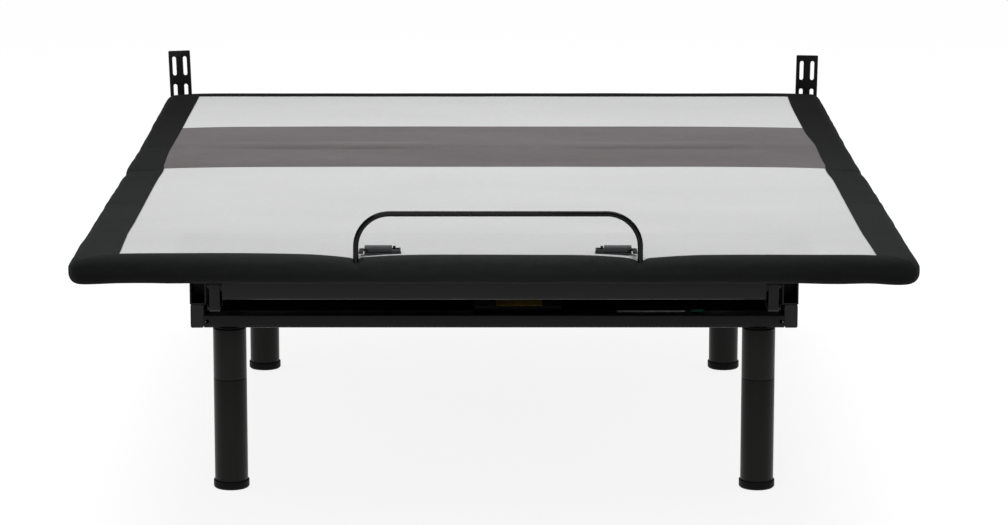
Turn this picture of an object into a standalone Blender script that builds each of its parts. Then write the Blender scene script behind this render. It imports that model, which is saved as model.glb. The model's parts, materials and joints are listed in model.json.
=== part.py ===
"""Adjustable bed base, queen size: a four-section upholstered deck on a steel base frame.

Units are metres, +Z is up and +Y points to the head end. The origin is on the floor under the
middle of the footprint, which runs from the deck's front edge to the headboard plates.

The deck has a head, a seat, a thigh and a foot section. The seat is fixed to the base frame. The
head section hinges on the seat's back edge and is pushed up by one linear actuator. The thigh
section hinges on the seat's front edge and is pushed up by the other. The foot section hangs on
the knee axle and on two link arms, which are as long as the thigh section and parallel to it, so
it stays level.
"""
import math

import bmesh
import bpy
from mathutils import Matrix, Vector

# ---- driving dimensions ---------------------------------------------------------------------
GAP = 0.0003                  # clearance left between faces that touch

DECK_WIDTH = 1.524            # 60 inches
DECK_LENGTH = 2.032           # 80 inches
DECK_TOP = 0.535
DECK_BOTTOM = 0.487
DECK_CORNER = 0.020           # radius of the deck's outer corners and top edges
PANEL_THICKNESS = 0.018       # plywood
COVER_LIP = 0.0047            # foam and cover beyond the plywood's front or back edge
COVER_SIDE = 0.0180           # the same beyond its sides, where the cover is drawn in
TOP_ROUND = 0.016             # bevels of the pad's top and bottom edges and of the plywood's underside
BOTTOM_ROUND = 0.013
PANEL_CHAMFER = 0.011
PLATE_BACK = 1.031            # rear face of the headboard plates
DECK_FRONT = -PLATE_BACK      # the footprint is centred on the origin
DECK_BACK = DECK_FRONT + DECK_LENGTH

HINGE_Z = 0.490
HEAD_HINGE_Y = 0.195
THIGH_HINGE_Y = -0.075
KNEE_Y = -0.475
HEAD_TRAVEL = math.radians(60)
THIGH_TRAVEL = math.radians(35)
PANEL_SETBACK = 0.013         # plywood edge to hinge plane

SECTION_BOTTOM = 0.447        # underside of the section frames
SECTION_TOP = DECK_BOTTOM - GAP
SECTION_HALF = 0.489          # half width of a section frame
SECTION_TUBE = 0.025          # width of its tubes
TUBE_WALL = 0.002
TUBE_RADIUS = 0.003
TUBE_SETBACK = 0.020          # tube face to hinge plane
FOOT_TUBE_FRONT = -0.970      # front face of the foot section's front tube

RAIL_X = 0.565                # centre of a side rail
RAIL_WIDTH = 0.025
RAIL_BOTTOM = 0.317
RAIL_TOP = 0.362
CROSS_HEIGHT = 0.025
CROSS_DEPTH = 0.045
LEG_X = 0.505
FRONT_LEG_Y = -0.580
BACK_LEG_Y = 0.468
BASE_FRONT = FRONT_LEG_Y - CROSS_DEPTH / 2
BASE_BACK = BACK_LEG_Y + CROSS_DEPTH / 2
CROSS_HALF = RAIL_X - RAIL_WIDTH / 2 - GAP
CAP_THICKNESS = 0.0022
CROSS_BOLT_X = 0.546          # the two bolt holes in a cross tube's outer face
CROSS_BOLT_RADIUS = 0.0035

LEG_RADIUS = 0.03175          # 2.5 inch tube
LEG_JOINT = 0.2155            # the lower leg is 8 inches long, the upper one 4 inches
LEG_TOP = 0.3135
GLIDE_RADIUS = 0.03425
GLIDE_FLOOR = 0.012           # thickness of the glide under the tube
GLIDE_TOP = 0.016
STUD_RADIUS = 0.006
LEG_SEGMENTS = 20

UPRIGHT_LENGTH = 0.0675
UPRIGHT_INNER = 0.5475
UPRIGHT_OUTER = 0.5785
UPRIGHT_TOP = 0.475
SHEET_STEEL = 0.003
BUMPER_RADIUS = 0.013

LINK_INNER = 0.4934
LINK_OUTER = 0.5116
LINK_BOTTOM = 0.425
LINK_TOP = 0.485
LINK_END = 0.013              # pivot to the link's end and to its top edge
LINK_PIVOT_Z = LINK_TOP - LINK_END
LINK_FOOT_Y = FOOT_TUBE_FRONT + SECTION_TUBE / 2
LINK_BASE_Y = LINK_FOOT_Y + THIGH_HINGE_Y - KNEE_Y
LINK_LOWER_BOLT_Z = 0.431

AXLE_RADIUS = 0.005
LUG_RADIUS = 0.011
LUG_THICKNESS = 0.006
CHILD_LUG_X = 0.443
PARENT_LUG_X = 0.4495
AXLE_END = 0.4575

ACTUATOR_X = 0.12
MOTOR_BAR_DEPTH = 0.030
MOTOR_BAR_BOTTOM = 0.320
MOTOR_BAR_TOP = 0.345
HEAD_ROD_Z = 0.392
HEAD_ROD_Y = HEAD_HINGE_Y - (HINGE_Z - HEAD_ROD_Z) * math.tan(HEAD_TRAVEL / 2)
HEAD_PIVOT_Y = -0.318
FOOT_ROD_Z = 0.3828
FOOT_ROD_Y = THIGH_HINGE_Y + (HINGE_Z - FOOT_ROD_Z) * math.tan(THIGH_TRAVEL / 2)
FOOT_PIVOT_Y = 0.378
CRANK_INNER = 0.0150          # the two plates of a crank, each side of the rod
CRANK_OUTER = 0.0210

ARM_X = 0.724                 # headboard arm's rear end
ARM_WIDTH = 0.020
ARM_HEIGHT = 0.040
PLATE_WIDTH = 0.050
PLATE_THICKNESS = 0.005
PLATE_BOTTOM = 0.345
PLATE_BOLT_Z = 0.3975
SLOT_WIDTH = 0.0088
SLOT_LENGTH = 0.045
SLOT_SPACING = 0.0247
SLOT_FROM_TOP = 0.013
SLOT_ROW_GAP = 0.0195
PLATES = {"left": (-1, 0.628, 2.0), "right": (1, 0.617, 1.0)}   # side, top, lean in degrees

BAR_X = 0.007                 # middle of the mattress retainer
BAR_HALF = 0.2535
BAR_Y = -1.013
BAR_RADIUS = 0.005
BAR_BOTTOM = 0.4885           # its feet end inside the foot section
BAR_TOP = 0.6116              # centre line of its straight top
BAR_BEND = 0.060

LATCH_Y = -0.986
LATCH_FLOOR = DECK_TOP + GAP
SLEEVE_OUTER = 0.2390         # sleeve's outer end, from the middle of the retainer
SLEEVE_INNER = 0.1897
SLEEVE_SLOT = 0.0062          # the sleeve's front wall is open this far, for the bolt's finger
LATCH_INNER = 0.1735
BOLT_INNER = 0.1825
BOLT_PIN_X = 0.1855
BOLT_Z = 0.5395
BOLT_THICKNESS = 0.004

LEAD_RADIUS = 0.003
LEAD_SPACING = 0.017          # between the points of a lead's centre line

SIDES = {"left": -1, "right": 1}

# ---- materials: colour, roughness, metallic -------------------------------------------------
FINISHES = {
    "black_powder_coat": ((0.018, 0.018, 0.018), 0.45, 0.3),
    "leg_powder_coat": ((0.014, 0.013, 0.011), 0.40, 0.3),
    "black_plastic": ((0.020, 0.020, 0.020), 0.55, 0.0),
    "black_rubber": ((0.015, 0.015, 0.015), 0.80, 0.0),
    "zinc_steel": ((0.45, 0.45, 0.44), 0.35, 1.0),
    "plywood": ((0.52, 0.38, 0.22), 0.70, 0.0),
    "cover_fabric": ((0.55, 0.55, 0.56), 0.90, 0.0),
    "dust_cover_fabric": ((0.010, 0.010, 0.010), 0.95, 0.0),
    "motor_plastic": ((0.025, 0.025, 0.026), 0.50, 0.0),
    "bright_rod": ((0.55, 0.56, 0.57), 0.25, 1.0),
    "latch_grey": ((0.035, 0.038, 0.040), 0.40, 0.3),
}


def material(finish, name):
    """One Principled material for one sub-part."""
    colour, roughness, metallic = FINISHES[finish]
    result = bpy.data.materials.new(name + "_" + finish)
    result.use_nodes = True
    shader = result.node_tree.nodes["Principled BSDF"]
    shader.inputs["Base Color"].default_value = (*colour, 1.0)
    shader.inputs["Roughness"].default_value = roughness
    shader.inputs["Metallic"].default_value = metallic
    result.diffuse_color = (*colour, 1.0)
    return result


# ---- modelling tools ------------------------------------------------------------------------
def link_mesh(bm):
    """Turn a bmesh into a scene object with its faces pointing out."""
    bmesh.ops.recalc_face_normals(bm, faces=bm.faces[:])
    mesh = bpy.data.meshes.new("piece")
    bm.to_mesh(mesh)
    bm.free()
    result = bpy.data.objects.new("piece", mesh)
    bpy.context.scene.collection.objects.link(result)
    return result


def point_on(axis, u, v, level):
    """A point of an outline drawn across an axis: (y, z) across X, (x, z) across Y, (x, y) across Z."""
    if axis == "X":
        return Vector((level, u, v))
    if axis == "Y":
        return Vector((u, level, v))
    return Vector((u, v, level))


def prism(axis, outline, low, high):
    """Solid of one outline between two levels along an axis."""
    bm = bmesh.new()
    ends = []
    for level in (low, high):
        ends.append([bm.verts.new(point_on(axis, u, v, level)) for u, v in outline])
    bm.faces.new(ends[0])
    bm.faces.new(ends[1])
    count = len(outline)
    for i in range(count):
        j = (i + 1) % count
        bm.faces.new((ends[0][i], ends[0][j], ends[1][j], ends[1][i]))
    return link_mesh(bm)


def arc(centre, radius, start, end, steps):
    """Points on an arc, in degrees, both ends included."""
    points = []
    for i in range(steps + 1):
        angle = math.radians(start + (end - start) * i / steps)
        points.append((centre[0] + radius * math.cos(angle), centre[1] + radius * math.sin(angle)))
    return points


def rounded(low, high, radius, steps=2):
    """Rectangle with round corners."""
    if radius == 0:
        return [(low[0], low[1]), (high[0], low[1]), (high[0], high[1]), (low[0], high[1])]
    points = []
    points += arc((low[0] + radius, low[1] + radius), radius, 180, 270, steps)
    points += arc((high[0] - radius, low[1] + radius), radius, 270, 360, steps)
    points += arc((high[0] - radius, high[1] - radius), radius, 0, 90, steps)
    points += arc((low[0] + radius, high[1] - radius), radius, 90, 180, steps)
    return points


def capsule(centre, width, length, steps=4):
    """Upright slot with round ends."""
    radius = width / 2
    reach = length / 2 - radius
    points = arc((centre[0], centre[1] + reach), radius, 0, 180, steps)
    points += arc((centre[0], centre[1] - reach), radius, 180, 360, steps)
    return points


def circle(centre, radius, segments=16):
    return arc(centre, radius, 0, 360 * (segments - 1) / segments, segments - 1)


def box(low, high):
    return prism("Z", rounded(low[:2], high[:2], 0), low[2], high[2])


def rod(axis, centre, radius, low, high, segments=16):
    return prism(axis, circle(centre, radius, segments), low, high)


def lathe(profile, x, y, segments):
    """Turn a profile of (radius, z) about a vertical axis. It starts and ends on the axis."""
    bm = bmesh.new()
    rings = []
    for radius, z in profile:
        if radius == 0:
            rings.append([bm.verts.new((x, y, z))])
            continue
        ring = []
        for i in range(segments):
            angle = 2 * math.pi * i / segments
            ring.append(bm.verts.new((x + radius * math.cos(angle), y + radius * math.sin(angle), z)))
        rings.append(ring)
    for first, second in zip(rings, rings[1:]):
        for i in range(segments):
            j = (i + 1) % segments
            corners = [first[i % len(first)], first[j % len(first)],
                       second[j % len(second)], second[i % len(second)]]
            bm.faces.new(list(dict.fromkeys(corners)))
    return link_mesh(bm)


def boolean(target, other, operation):
    """Apply one Boolean and remove the other operand."""
    modifier = target.modifiers.new("Boolean", "BOOLEAN")
    modifier.operation = operation
    modifier.solver = "EXACT"
    modifier.object = other
    graph = bpy.context.evaluated_depsgraph_get()
    mesh = bpy.data.meshes.new_from_object(target.evaluated_get(graph))
    target.modifiers.clear()
    target.data = mesh
    bpy.data.objects.remove(other)


def join(target, *others):
    for other in others:
        boolean(target, other, "UNION")
    return target


def cut(target, *others):
    for other in others:
        boolean(target, other, "DIFFERENCE")
    return target


def tube(axis, low, high, start, end):
    """Rectangular steel tube, open at both ends."""
    inner_low = (low[0] + TUBE_WALL, low[1] + TUBE_WALL)
    inner_high = (high[0] - TUBE_WALL, high[1] - TUBE_WALL)
    outer = prism(axis, rounded(low, high, TUBE_RADIUS), start, end)
    return cut(outer, prism(axis, rounded(inner_low, inner_high, 0), start - 0.01, end + 0.01))


def rod_along(points, radius, resolution):
    """Round bar or lead along a line of points, with closed ends."""
    curve = bpy.data.curves.new("piece", "CURVE")
    curve.dimensions = "3D"
    curve.bevel_depth = radius
    curve.bevel_resolution = resolution
    curve.use_fill_caps = True
    spline = curve.splines.new("POLY")
    spline.points.add(len(points) - 1)
    for point, place in zip(spline.points, points):
        point.co = (*place, 1.0)
    result = bpy.data.objects.new("piece", curve)
    bpy.context.scene.collection.objects.link(result)
    return result


def smooth_route(route, spacing):
    """Evenly spaced points on a smooth curve through the route's points."""
    ends = [2 * route[0] - route[1], *route, 2 * route[-1] - route[-2]]
    fine = []
    for a, b, c, d in zip(ends, ends[1:], ends[2:], ends[3:]):
        for i in range(24):
            t = i / 24
            fine.append(0.5 * (2 * b + (c - a) * t + (2 * a - 5 * b + 4 * c - d) * t ** 2
                               + (3 * b - a - 3 * c + d) * t ** 3))
    fine.append(route[-1].copy())
    points = [fine[0]]
    for place in fine:
        if (place - points[-1]).length >= spacing:
            points.append(place)
    points[-1] = fine[-1]
    return points


def finish(piece, name, look):
    """Name a piece, give it its material and shade its round faces smooth."""
    piece.name = name
    piece.data.name = name
    piece.data.materials.clear()
    piece.data.materials.append(material(look, name))
    if piece.type == "MESH":
        piece.data.shade_smooth()
        piece.data.set_sharp_from_angle(angle=math.radians(40))
    return piece


def put_origin(piece, place):
    """Move a piece's origin to a point of its joint's axis without moving the piece."""
    place = Vector(place)
    if piece.type == "MESH":
        piece.data.transform(Matrix.Translation(-place))
    else:
        for point in piece.data.splines[0].points:
            point.co = (*(Vector(point.co[:3]) - place), 1.0)
    piece.location = place
    return piece


# ---- base frame -----------------------------------------------------------------------------
def side_rail(name, side):
    low = (side * RAIL_X - RAIL_WIDTH / 2, RAIL_BOTTOM)
    high = (side * RAIL_X + RAIL_WIDTH / 2, RAIL_TOP)
    finish(tube("Y", low, high, BASE_FRONT + CAP_THICKNESS + GAP, BASE_BACK),
           "side_rail_" + name, "black_powder_coat")


def rail_cap(name, side):
    """Plastic plug that closes a rail's front end."""
    low = (side * RAIL_X - RAIL_WIDTH / 2, RAIL_BOTTOM)
    high = (side * RAIL_X + RAIL_WIDTH / 2, RAIL_TOP)
    inset = TUBE_WALL + GAP
    flange = prism("Y", rounded(low, high, TUBE_RADIUS), BASE_FRONT, BASE_FRONT + CAP_THICKNESS)
    plug = prism("Y", rounded((low[0] + inset, low[1] + inset), (high[0] - inset, high[1] - inset), 0),
                 BASE_FRONT + CAP_THICKNESS / 2, BASE_FRONT + 0.012)
    finish(join(flange, plug), "rail_cap_" + name, "black_plastic")


def cross_tube(name, centre_y, face_y):
    """Tube laid flat between the rails, with threaded holes for two legs and two bolt holes."""
    low = (centre_y - CROSS_DEPTH / 2, RAIL_BOTTOM)
    high = (centre_y + CROSS_DEPTH / 2, RAIL_BOTTOM + CROSS_HEIGHT)
    piece = tube("X", low, high, -CROSS_HALF, CROSS_HALF)
    floor = RAIL_BOTTOM
    bolt_z = floor + CROSS_HEIGHT / 2
    for side in (-1, 1):
        cut(piece, rod("Z", (side * LEG_X, centre_y), STUD_RADIUS + GAP, floor - 0.01, floor + 0.01))
        cut(piece, rod("Y", (side * CROSS_BOLT_X, bolt_z), CROSS_BOLT_RADIUS, face_y - 0.01, face_y + 0.01, 10))
    finish(piece, name, "black_powder_coat")


def motor_crossbar(name, x, pivot_y, pivot_z):
    """Tube between the rails with two ears that hold an actuator's rear pivot."""
    low = (pivot_y - MOTOR_BAR_DEPTH / 2, MOTOR_BAR_BOTTOM)
    high = (pivot_y + MOTOR_BAR_DEPTH / 2, MOTOR_BAR_TOP)
    piece = tube("X", low, high, -CROSS_HALF, CROSS_HALF)
    outline = [(pivot_y - 0.0125, MOTOR_BAR_TOP - 0.001), (pivot_y + 0.0125, MOTOR_BAR_TOP - 0.001)]
    outline += arc((pivot_y, pivot_z), 0.011, 0, 180, 6)
    for side in (-1, 1):
        near = x + side * 0.0140
        far = x + side * 0.0180
        ear = prism("X", outline, min(near, far), max(near, far))
        cut(ear, rod("X", (pivot_y, pivot_z), AXLE_RADIUS + GAP, x - 0.05, x + 0.05, 12))
        join(piece, ear)
    finish(piece, name, "black_powder_coat")


def upright(name, side, outer_y, inward, top):
    """Folded steel box on a rail, open towards the end of the bed. It carries a deck corner."""
    y_values = sorted((outer_y, outer_y + inward * UPRIGHT_LENGTH))
    x_values = sorted((side * UPRIGHT_INNER, side * UPRIGHT_OUTER))
    floor = RAIL_TOP + GAP
    piece = box((x_values[0], y_values[0], floor), (x_values[1], y_values[1], top))
    hollow_y = sorted((outer_y - inward * 0.01, outer_y + inward * (UPRIGHT_LENGTH - SHEET_STEEL)))
    cut(piece, box((x_values[0] + SHEET_STEEL, hollow_y[0], floor + SHEET_STEEL),
                   (x_values[1] - SHEET_STEEL, hollow_y[1], top - SHEET_STEEL)))
    if inward > 0:
        shoulder = sorted((side * (UPRIGHT_INNER + 0.001), side * (LINK_OUTER + GAP)))
        pin = sorted((side * (UPRIGHT_INNER + 0.001), side * (LINK_INNER - 0.003)))
        join(piece, rod("X", (LINK_BASE_Y, LINK_PIVOT_Z), 0.009, *shoulder, 14))
        join(piece, rod("X", (LINK_BASE_Y, LINK_PIVOT_Z), AXLE_RADIUS, *pin, 12))
    return finish(piece, name, "black_powder_coat")


def bumper(name, side):
    """Rubber stop on top of a front upright."""
    x = side * (UPRIGHT_INNER + UPRIGHT_OUTER) / 2
    y = BASE_FRONT + UPRIGHT_LENGTH / 2
    floor = UPRIGHT_TOP + GAP
    top = DECK_BOTTOM - GAP
    profile = [(0, top), (BUMPER_RADIUS - 0.003, top), (BUMPER_RADIUS, floor + 0.004),
               (BUMPER_RADIUS, floor), (0, floor)]
    finish(lathe(profile, x, y, 16), "deck_bumper_" + name, "black_rubber")


def leg(name, x, y):
    """Glide, lower tube and upper tube, screwed together by studs."""
    bevel = 0.001
    wall = LEG_RADIUS - TUBE_WALL
    plate = 0.004
    glide = [(0, GLIDE_FLOOR), (LEG_RADIUS + GAP, GLIDE_FLOOR), (LEG_RADIUS + GAP, GLIDE_TOP),
             (GLIDE_RADIUS - bevel, GLIDE_TOP), (GLIDE_RADIUS, GLIDE_TOP - bevel), (GLIDE_RADIUS, 0.002),
             (GLIDE_RADIUS - 0.002, 0), (0, 0)]
    finish(lathe(glide, x, y, LEG_SEGMENTS), "leg_glide_" + name, "black_plastic")

    bottom = GLIDE_FLOOR + GAP
    top = LEG_JOINT - GAP / 2
    lower = [(0, top + 0.018), (STUD_RADIUS, top + 0.018), (STUD_RADIUS, top), (LEG_RADIUS - bevel, top),
             (LEG_RADIUS, top - bevel), (LEG_RADIUS, bottom), (wall, bottom), (wall, top - plate),
             (0, top - plate)]
    finish(lathe(lower, x, y, LEG_SEGMENTS), "leg_lower_" + name, "leg_powder_coat")

    bottom = LEG_JOINT + GAP / 2
    neck = RAIL_BOTTOM - GAP
    upper = [(0, neck + 0.021), (STUD_RADIUS, neck + 0.021), (STUD_RADIUS, neck), (0.025, neck),
             (0.025, LEG_TOP), (LEG_RADIUS - bevel, LEG_TOP), (LEG_RADIUS, LEG_TOP - bevel),
             (LEG_RADIUS, bottom + bevel), (LEG_RADIUS - bevel, bottom), (STUD_RADIUS + GAP, bottom),
             (STUD_RADIUS + GAP, bottom + plate), (wall, bottom + plate), (wall, LEG_TOP - plate),
             (0, LEG_TOP - plate)]
    finish(lathe(upper, x, y, LEG_SEGMENTS), "leg_upper_" + name, "leg_powder_coat")


def dust_cover():
    """Thin black sheet that closes the base frame from below."""
    edge = CROSS_HALF - GAP
    finish(box((-edge, FRONT_LEG_Y + CROSS_DEPTH / 2 + GAP, RAIL_BOTTOM + 0.0002),
               (edge, BACK_LEG_Y - CROSS_DEPTH / 2 - GAP, RAIL_BOTTOM + 0.0017)),
           "dust_cover", "dust_cover_fabric")


# ---- headboard brackets ---------------------------------------------------------------------
def strip(path, width, end_extra=0.0):
    """Outline of a band of one width along a path of (x, y) points, mitred at its corners."""
    path = [Vector(p) for p in path]
    path[0] = path[0] - (path[1] - path[0]).normalized() * end_extra
    path[-1] = path[-1] + (path[-1] - path[-2]).normalized() * end_extra
    left = []
    right = []
    for i, place in enumerate(path):
        before = (place - path[i - 1]).normalized() if i > 0 else (path[1] - place).normalized()
        after = (path[i + 1] - place).normalized() if i + 1 < len(path) else before
        middle = (before + after).normalized()
        normal = Vector((-middle.y, middle.x))
        reach = width / 2 / middle.dot(before)
        left.append(tuple(place + normal * reach))
        right.append(tuple(place - normal * reach))
    return left + right[::-1]


def headboard_arm(name, side):
    """Tube that slides into a rail's rear end and reaches out to the headboard plate."""
    plate_front = PLATE_BACK - PLATE_THICKNESS
    flange_back = plate_front - GAP
    path = [(side * RAIL_X, 0.395), (side * RAIL_X, 0.530), (side * ARM_X, 0.740),
            (side * ARM_X, flange_back - 0.003)]
    middle = (RAIL_BOTTOM + RAIL_TOP) / 2
    low = middle - ARM_HEIGHT / 2
    high = middle + ARM_HEIGHT / 2
    piece = prism("Z", strip(path, ARM_WIDTH), low, high)
    hollow = strip(path, ARM_WIDTH - 2 * TUBE_WALL, 0.01)
    cut(piece, prism("Z", hollow, low + TUBE_WALL, high - TUBE_WALL))
    half = PLATE_WIDTH / 2
    outline = rounded((side * ARM_X - half, low), (side * ARM_X + half, PLATE_BOLT_Z + 0.025), 0.004)
    flange = prism("Y", outline, flange_back - 0.004, flange_back)
    for offset in (-1, 1):
        x = side * ARM_X + offset * SLOT_SPACING / 2
        join(flange, rod("Y", (x, PLATE_BOLT_Z), 0.0045, flange_back - 0.002, PLATE_BACK - 0.0006, 12))
    join(piece, flange)
    finish(piece, "headboard_arm_" + name, "black_powder_coat")


def headboard_plate(name, side, top, lean):
    """Slotted steel plate for a headboard's bolts. It leans out a little on its two bolts."""
    x = side * ARM_X
    front = PLATE_BACK - PLATE_THICKNESS
    half = PLATE_WIDTH / 2
    piece = prism("Y", rounded((x - half, PLATE_BOTTOM), (x + half, top), 0.002), front, PLATE_BACK)
    for column in (-1, 1):
        column_x = x + column * SLOT_SPACING / 2
        for row in range(2):
            slot_z = top - SLOT_FROM_TOP - SLOT_LENGTH / 2 - row * (SLOT_LENGTH + SLOT_ROW_GAP)
            slot = capsule((column_x, slot_z), SLOT_WIDTH, SLOT_LENGTH)
            cut(piece, prism("Y", slot, front - 0.01, PLATE_BACK + 0.01))
        cut(piece, rod("Y", (column_x, PLATE_BOLT_Z), 0.0055, front - 0.01, PLATE_BACK + 0.01, 12))
    pivot = Vector((x, 0, PLATE_BOLT_Z))
    turn = Matrix.Rotation(side * math.radians(lean), 4, "Y")
    piece.data.transform(Matrix.Translation(pivot) @ turn @ Matrix.Translation(-pivot))
    finish(piece, "headboard_plate_" + name, "black_powder_coat")


# ---- section frames -------------------------------------------------------------------------
def ladder_frame(cross_fronts, half_width):
    """Welded frame of full-width cross tubes, open at their ends, and two side tubes."""
    wall = TUBE_WALL
    side_bottom = SECTION_BOTTOM + 0.001
    side_top = SECTION_TOP - 0.001
    first = cross_fronts[0] + SECTION_TUBE / 2
    last = cross_fronts[-1] + SECTION_TUBE / 2
    piece = None
    for front in cross_fronts:
        bar = prism("X", rounded((front, SECTION_BOTTOM), (front + SECTION_TUBE, SECTION_TOP), TUBE_RADIUS),
                    -half_width, half_width)
        piece = join(piece, bar) if piece else bar
    for side in (-1, 1):
        x = sorted((side * SECTION_HALF, side * (SECTION_HALF - SECTION_TUBE)))
        join(piece, box((x[0], first, side_bottom), (x[1], last, side_top)))
    hollow = None
    for front in cross_fronts:
        bar = box((-half_width - 0.01, front + wall, SECTION_BOTTOM + wall),
                  (half_width + 0.01, front + SECTION_TUBE - wall, SECTION_TOP - wall))
        hollow = join(hollow, bar) if hollow else bar
    for side in (-1, 1):
        x = sorted((side * (SECTION_HALF - wall), side * (SECTION_HALF - SECTION_TUBE + wall)))
        join(hollow, box((x[0], first, side_bottom + wall), (x[1], last, side_top - wall)))
    return cut(piece, hollow)


def hinge_lugs(hinge_y, inward, x):
    """Pair of hinge plates. inward is the direction from the hinge to the frame they sit on."""
    tube_y = hinge_y + inward * (TUBE_SETBACK + 0.001)
    near_y = hinge_y + inward * (PANEL_SETBACK - 0.0005)
    turn = 0 if inward > 0 else 180
    spin = 1 if inward > 0 else -1
    outline = arc((hinge_y, HINGE_Z), LUG_RADIUS, turn, turn + spin * 270, 9)
    outline += [(tube_y, SECTION_BOTTOM + 0.008), (tube_y, SECTION_TOP - 0.001),
                (near_y, SECTION_TOP - 0.001)]
    lugs = []
    for side in (-1, 1):
        lug = prism("X", outline, side * x - LUG_THICKNESS / 2, side * x + LUG_THICKNESS / 2)
        lugs.append(cut(lug, rod("X", (hinge_y, HINGE_Z), AXLE_RADIUS + GAP, -0.5, 0.5, 12)))
    return lugs


def crank(x, hinge_y, rod_y, rod_z, tube_y, slot_width):
    """Two plates under a section frame. The actuator's pin pushes in their radial slots."""
    drop = Vector((rod_y - hinge_y, rod_z - HINGE_Z))
    direction = drop.normalized()
    side = Vector((-direction.y, direction.x))
    centre = Vector((hinge_y, HINGE_Z))
    near = HINGE_Z - rod_z - 0.0005
    far = drop.length + 0.0005
    half = slot_width / 2 + 0.0075
    angle = math.degrees(math.atan2(direction.y, direction.x))
    tip = centre + direction * far
    root = centre + direction * (near - 0.012) + side * half
    outline = arc(tip, half, angle - 90, angle + 90, 8)
    outline += [tuple(root), (tube_y + SECTION_TUBE - 0.003, SECTION_BOTTOM + 0.0015),
                (tube_y + 0.003, SECTION_BOTTOM + 0.0015)]
    slot = arc(tip, slot_width / 2, angle - 90, angle + 90, 6)
    slot += arc(centre + direction * near, slot_width / 2, angle + 90, angle + 270, 6)
    plates = []
    for sign in (-1, 1):
        low, high = sorted((x + sign * CRANK_INNER, x + sign * CRANK_OUTER))
        plates.append(cut(prism("X", outline, low, high), prism("X", slot, low - 0.01, high + 0.01)))
    return plates


def head_frame():
    front = HEAD_HINGE_Y + TUBE_SETBACK
    piece = ladder_frame([front, 0.560, DECK_BACK - 0.085], SECTION_HALF)
    join(piece, *hinge_lugs(HEAD_HINGE_Y, 1, CHILD_LUG_X))
    join(piece, *crank(-ACTUATOR_X, HEAD_HINGE_Y, HEAD_ROD_Y, HEAD_ROD_Z, front, 0.0130))
    put_origin(finish(piece, "head_frame", "black_powder_coat"), (0, HEAD_HINGE_Y, HINGE_Z))


def seat_frame():
    """Fixed section. Its cross tubes stand on four posts on the rails."""
    front = THIGH_HINGE_Y + TUBE_SETBACK
    back = HEAD_HINGE_Y - TUBE_SETBACK - SECTION_TUBE
    outer = RAIL_X + RAIL_WIDTH / 2
    piece = ladder_frame([front, back], outer)
    for y in (front, back):
        for side in (-1, 1):
            x = sorted((side * outer, side * (outer - RAIL_WIDTH)))
            join(piece, box((x[0] + 0.0005, y + 0.0005, RAIL_TOP + GAP),
                            (x[1] - 0.0005, y + SECTION_TUBE - 0.0005, SECTION_BOTTOM + 0.0015)))
    join(piece, *hinge_lugs(HEAD_HINGE_Y, -1, PARENT_LUG_X))
    join(piece, *hinge_lugs(THIGH_HINGE_Y, 1, PARENT_LUG_X))
    finish(piece, "seat_frame", "black_powder_coat")


def thigh_frame():
    back = THIGH_HINGE_Y - TUBE_SETBACK - SECTION_TUBE
    front = KNEE_Y + TUBE_SETBACK
    piece = ladder_frame([front, back], SECTION_HALF)
    join(piece, *hinge_lugs(THIGH_HINGE_Y, -1, CHILD_LUG_X))
    join(piece, *hinge_lugs(KNEE_Y, 1, PARENT_LUG_X))
    join(piece, *crank(ACTUATOR_X, THIGH_HINGE_Y, FOOT_ROD_Y, FOOT_ROD_Z, back, 0.0105))
    put_origin(finish(piece, "thigh_frame", "black_powder_coat"), (0, THIGH_HINGE_Y, HINGE_Z))


def foot_frame():
    """Its front tube carries the pins that the link arms' front ends turn on."""
    back = KNEE_Y - TUBE_SETBACK - SECTION_TUBE
    piece = ladder_frame([FOOT_TUBE_FRONT, back], SECTION_HALF)
    join(piece, *hinge_lugs(KNEE_Y, -1, CHILD_LUG_X))
    for side in (-1, 1):
        centre = (LINK_FOOT_Y, LINK_PIVOT_Z)
        block = sorted((side * (SECTION_HALF - 0.010), side * (SECTION_HALF + 0.004)))
        pin = sorted((side * (SECTION_HALF - 0.008), side * (LINK_OUTER + 0.002)))
        head = sorted((side * (LINK_OUTER + GAP), side * (LINK_OUTER + 0.0045)))
        join(piece, rod("X", centre, 0.0118, *block, 12), rod("X", centre, 0.0042, *pin, 12),
             rod("X", centre, 0.0065, *head, 6))
    put_origin(finish(piece, "foot_frame", "black_powder_coat"), (0, KNEE_Y, HINGE_Z))


def axle(name, hinge_y):
    """Hinge rod with a head at each end."""
    piece = rod("X", (hinge_y, HINGE_Z), AXLE_RADIUS, -AXLE_END + 0.001, AXLE_END - 0.001, 12)
    start = PARENT_LUG_X + LUG_THICKNESS / 2 + GAP
    join(piece, rod("X", (hinge_y, HINGE_Z), 0.008, start, AXLE_END, 12))
    join(piece, rod("X", (hinge_y, HINGE_Z), 0.008, -AXLE_END, -start, 12))
    return put_origin(finish(piece, name, "zinc_steel"), (0, hinge_y, HINGE_Z))


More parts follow.
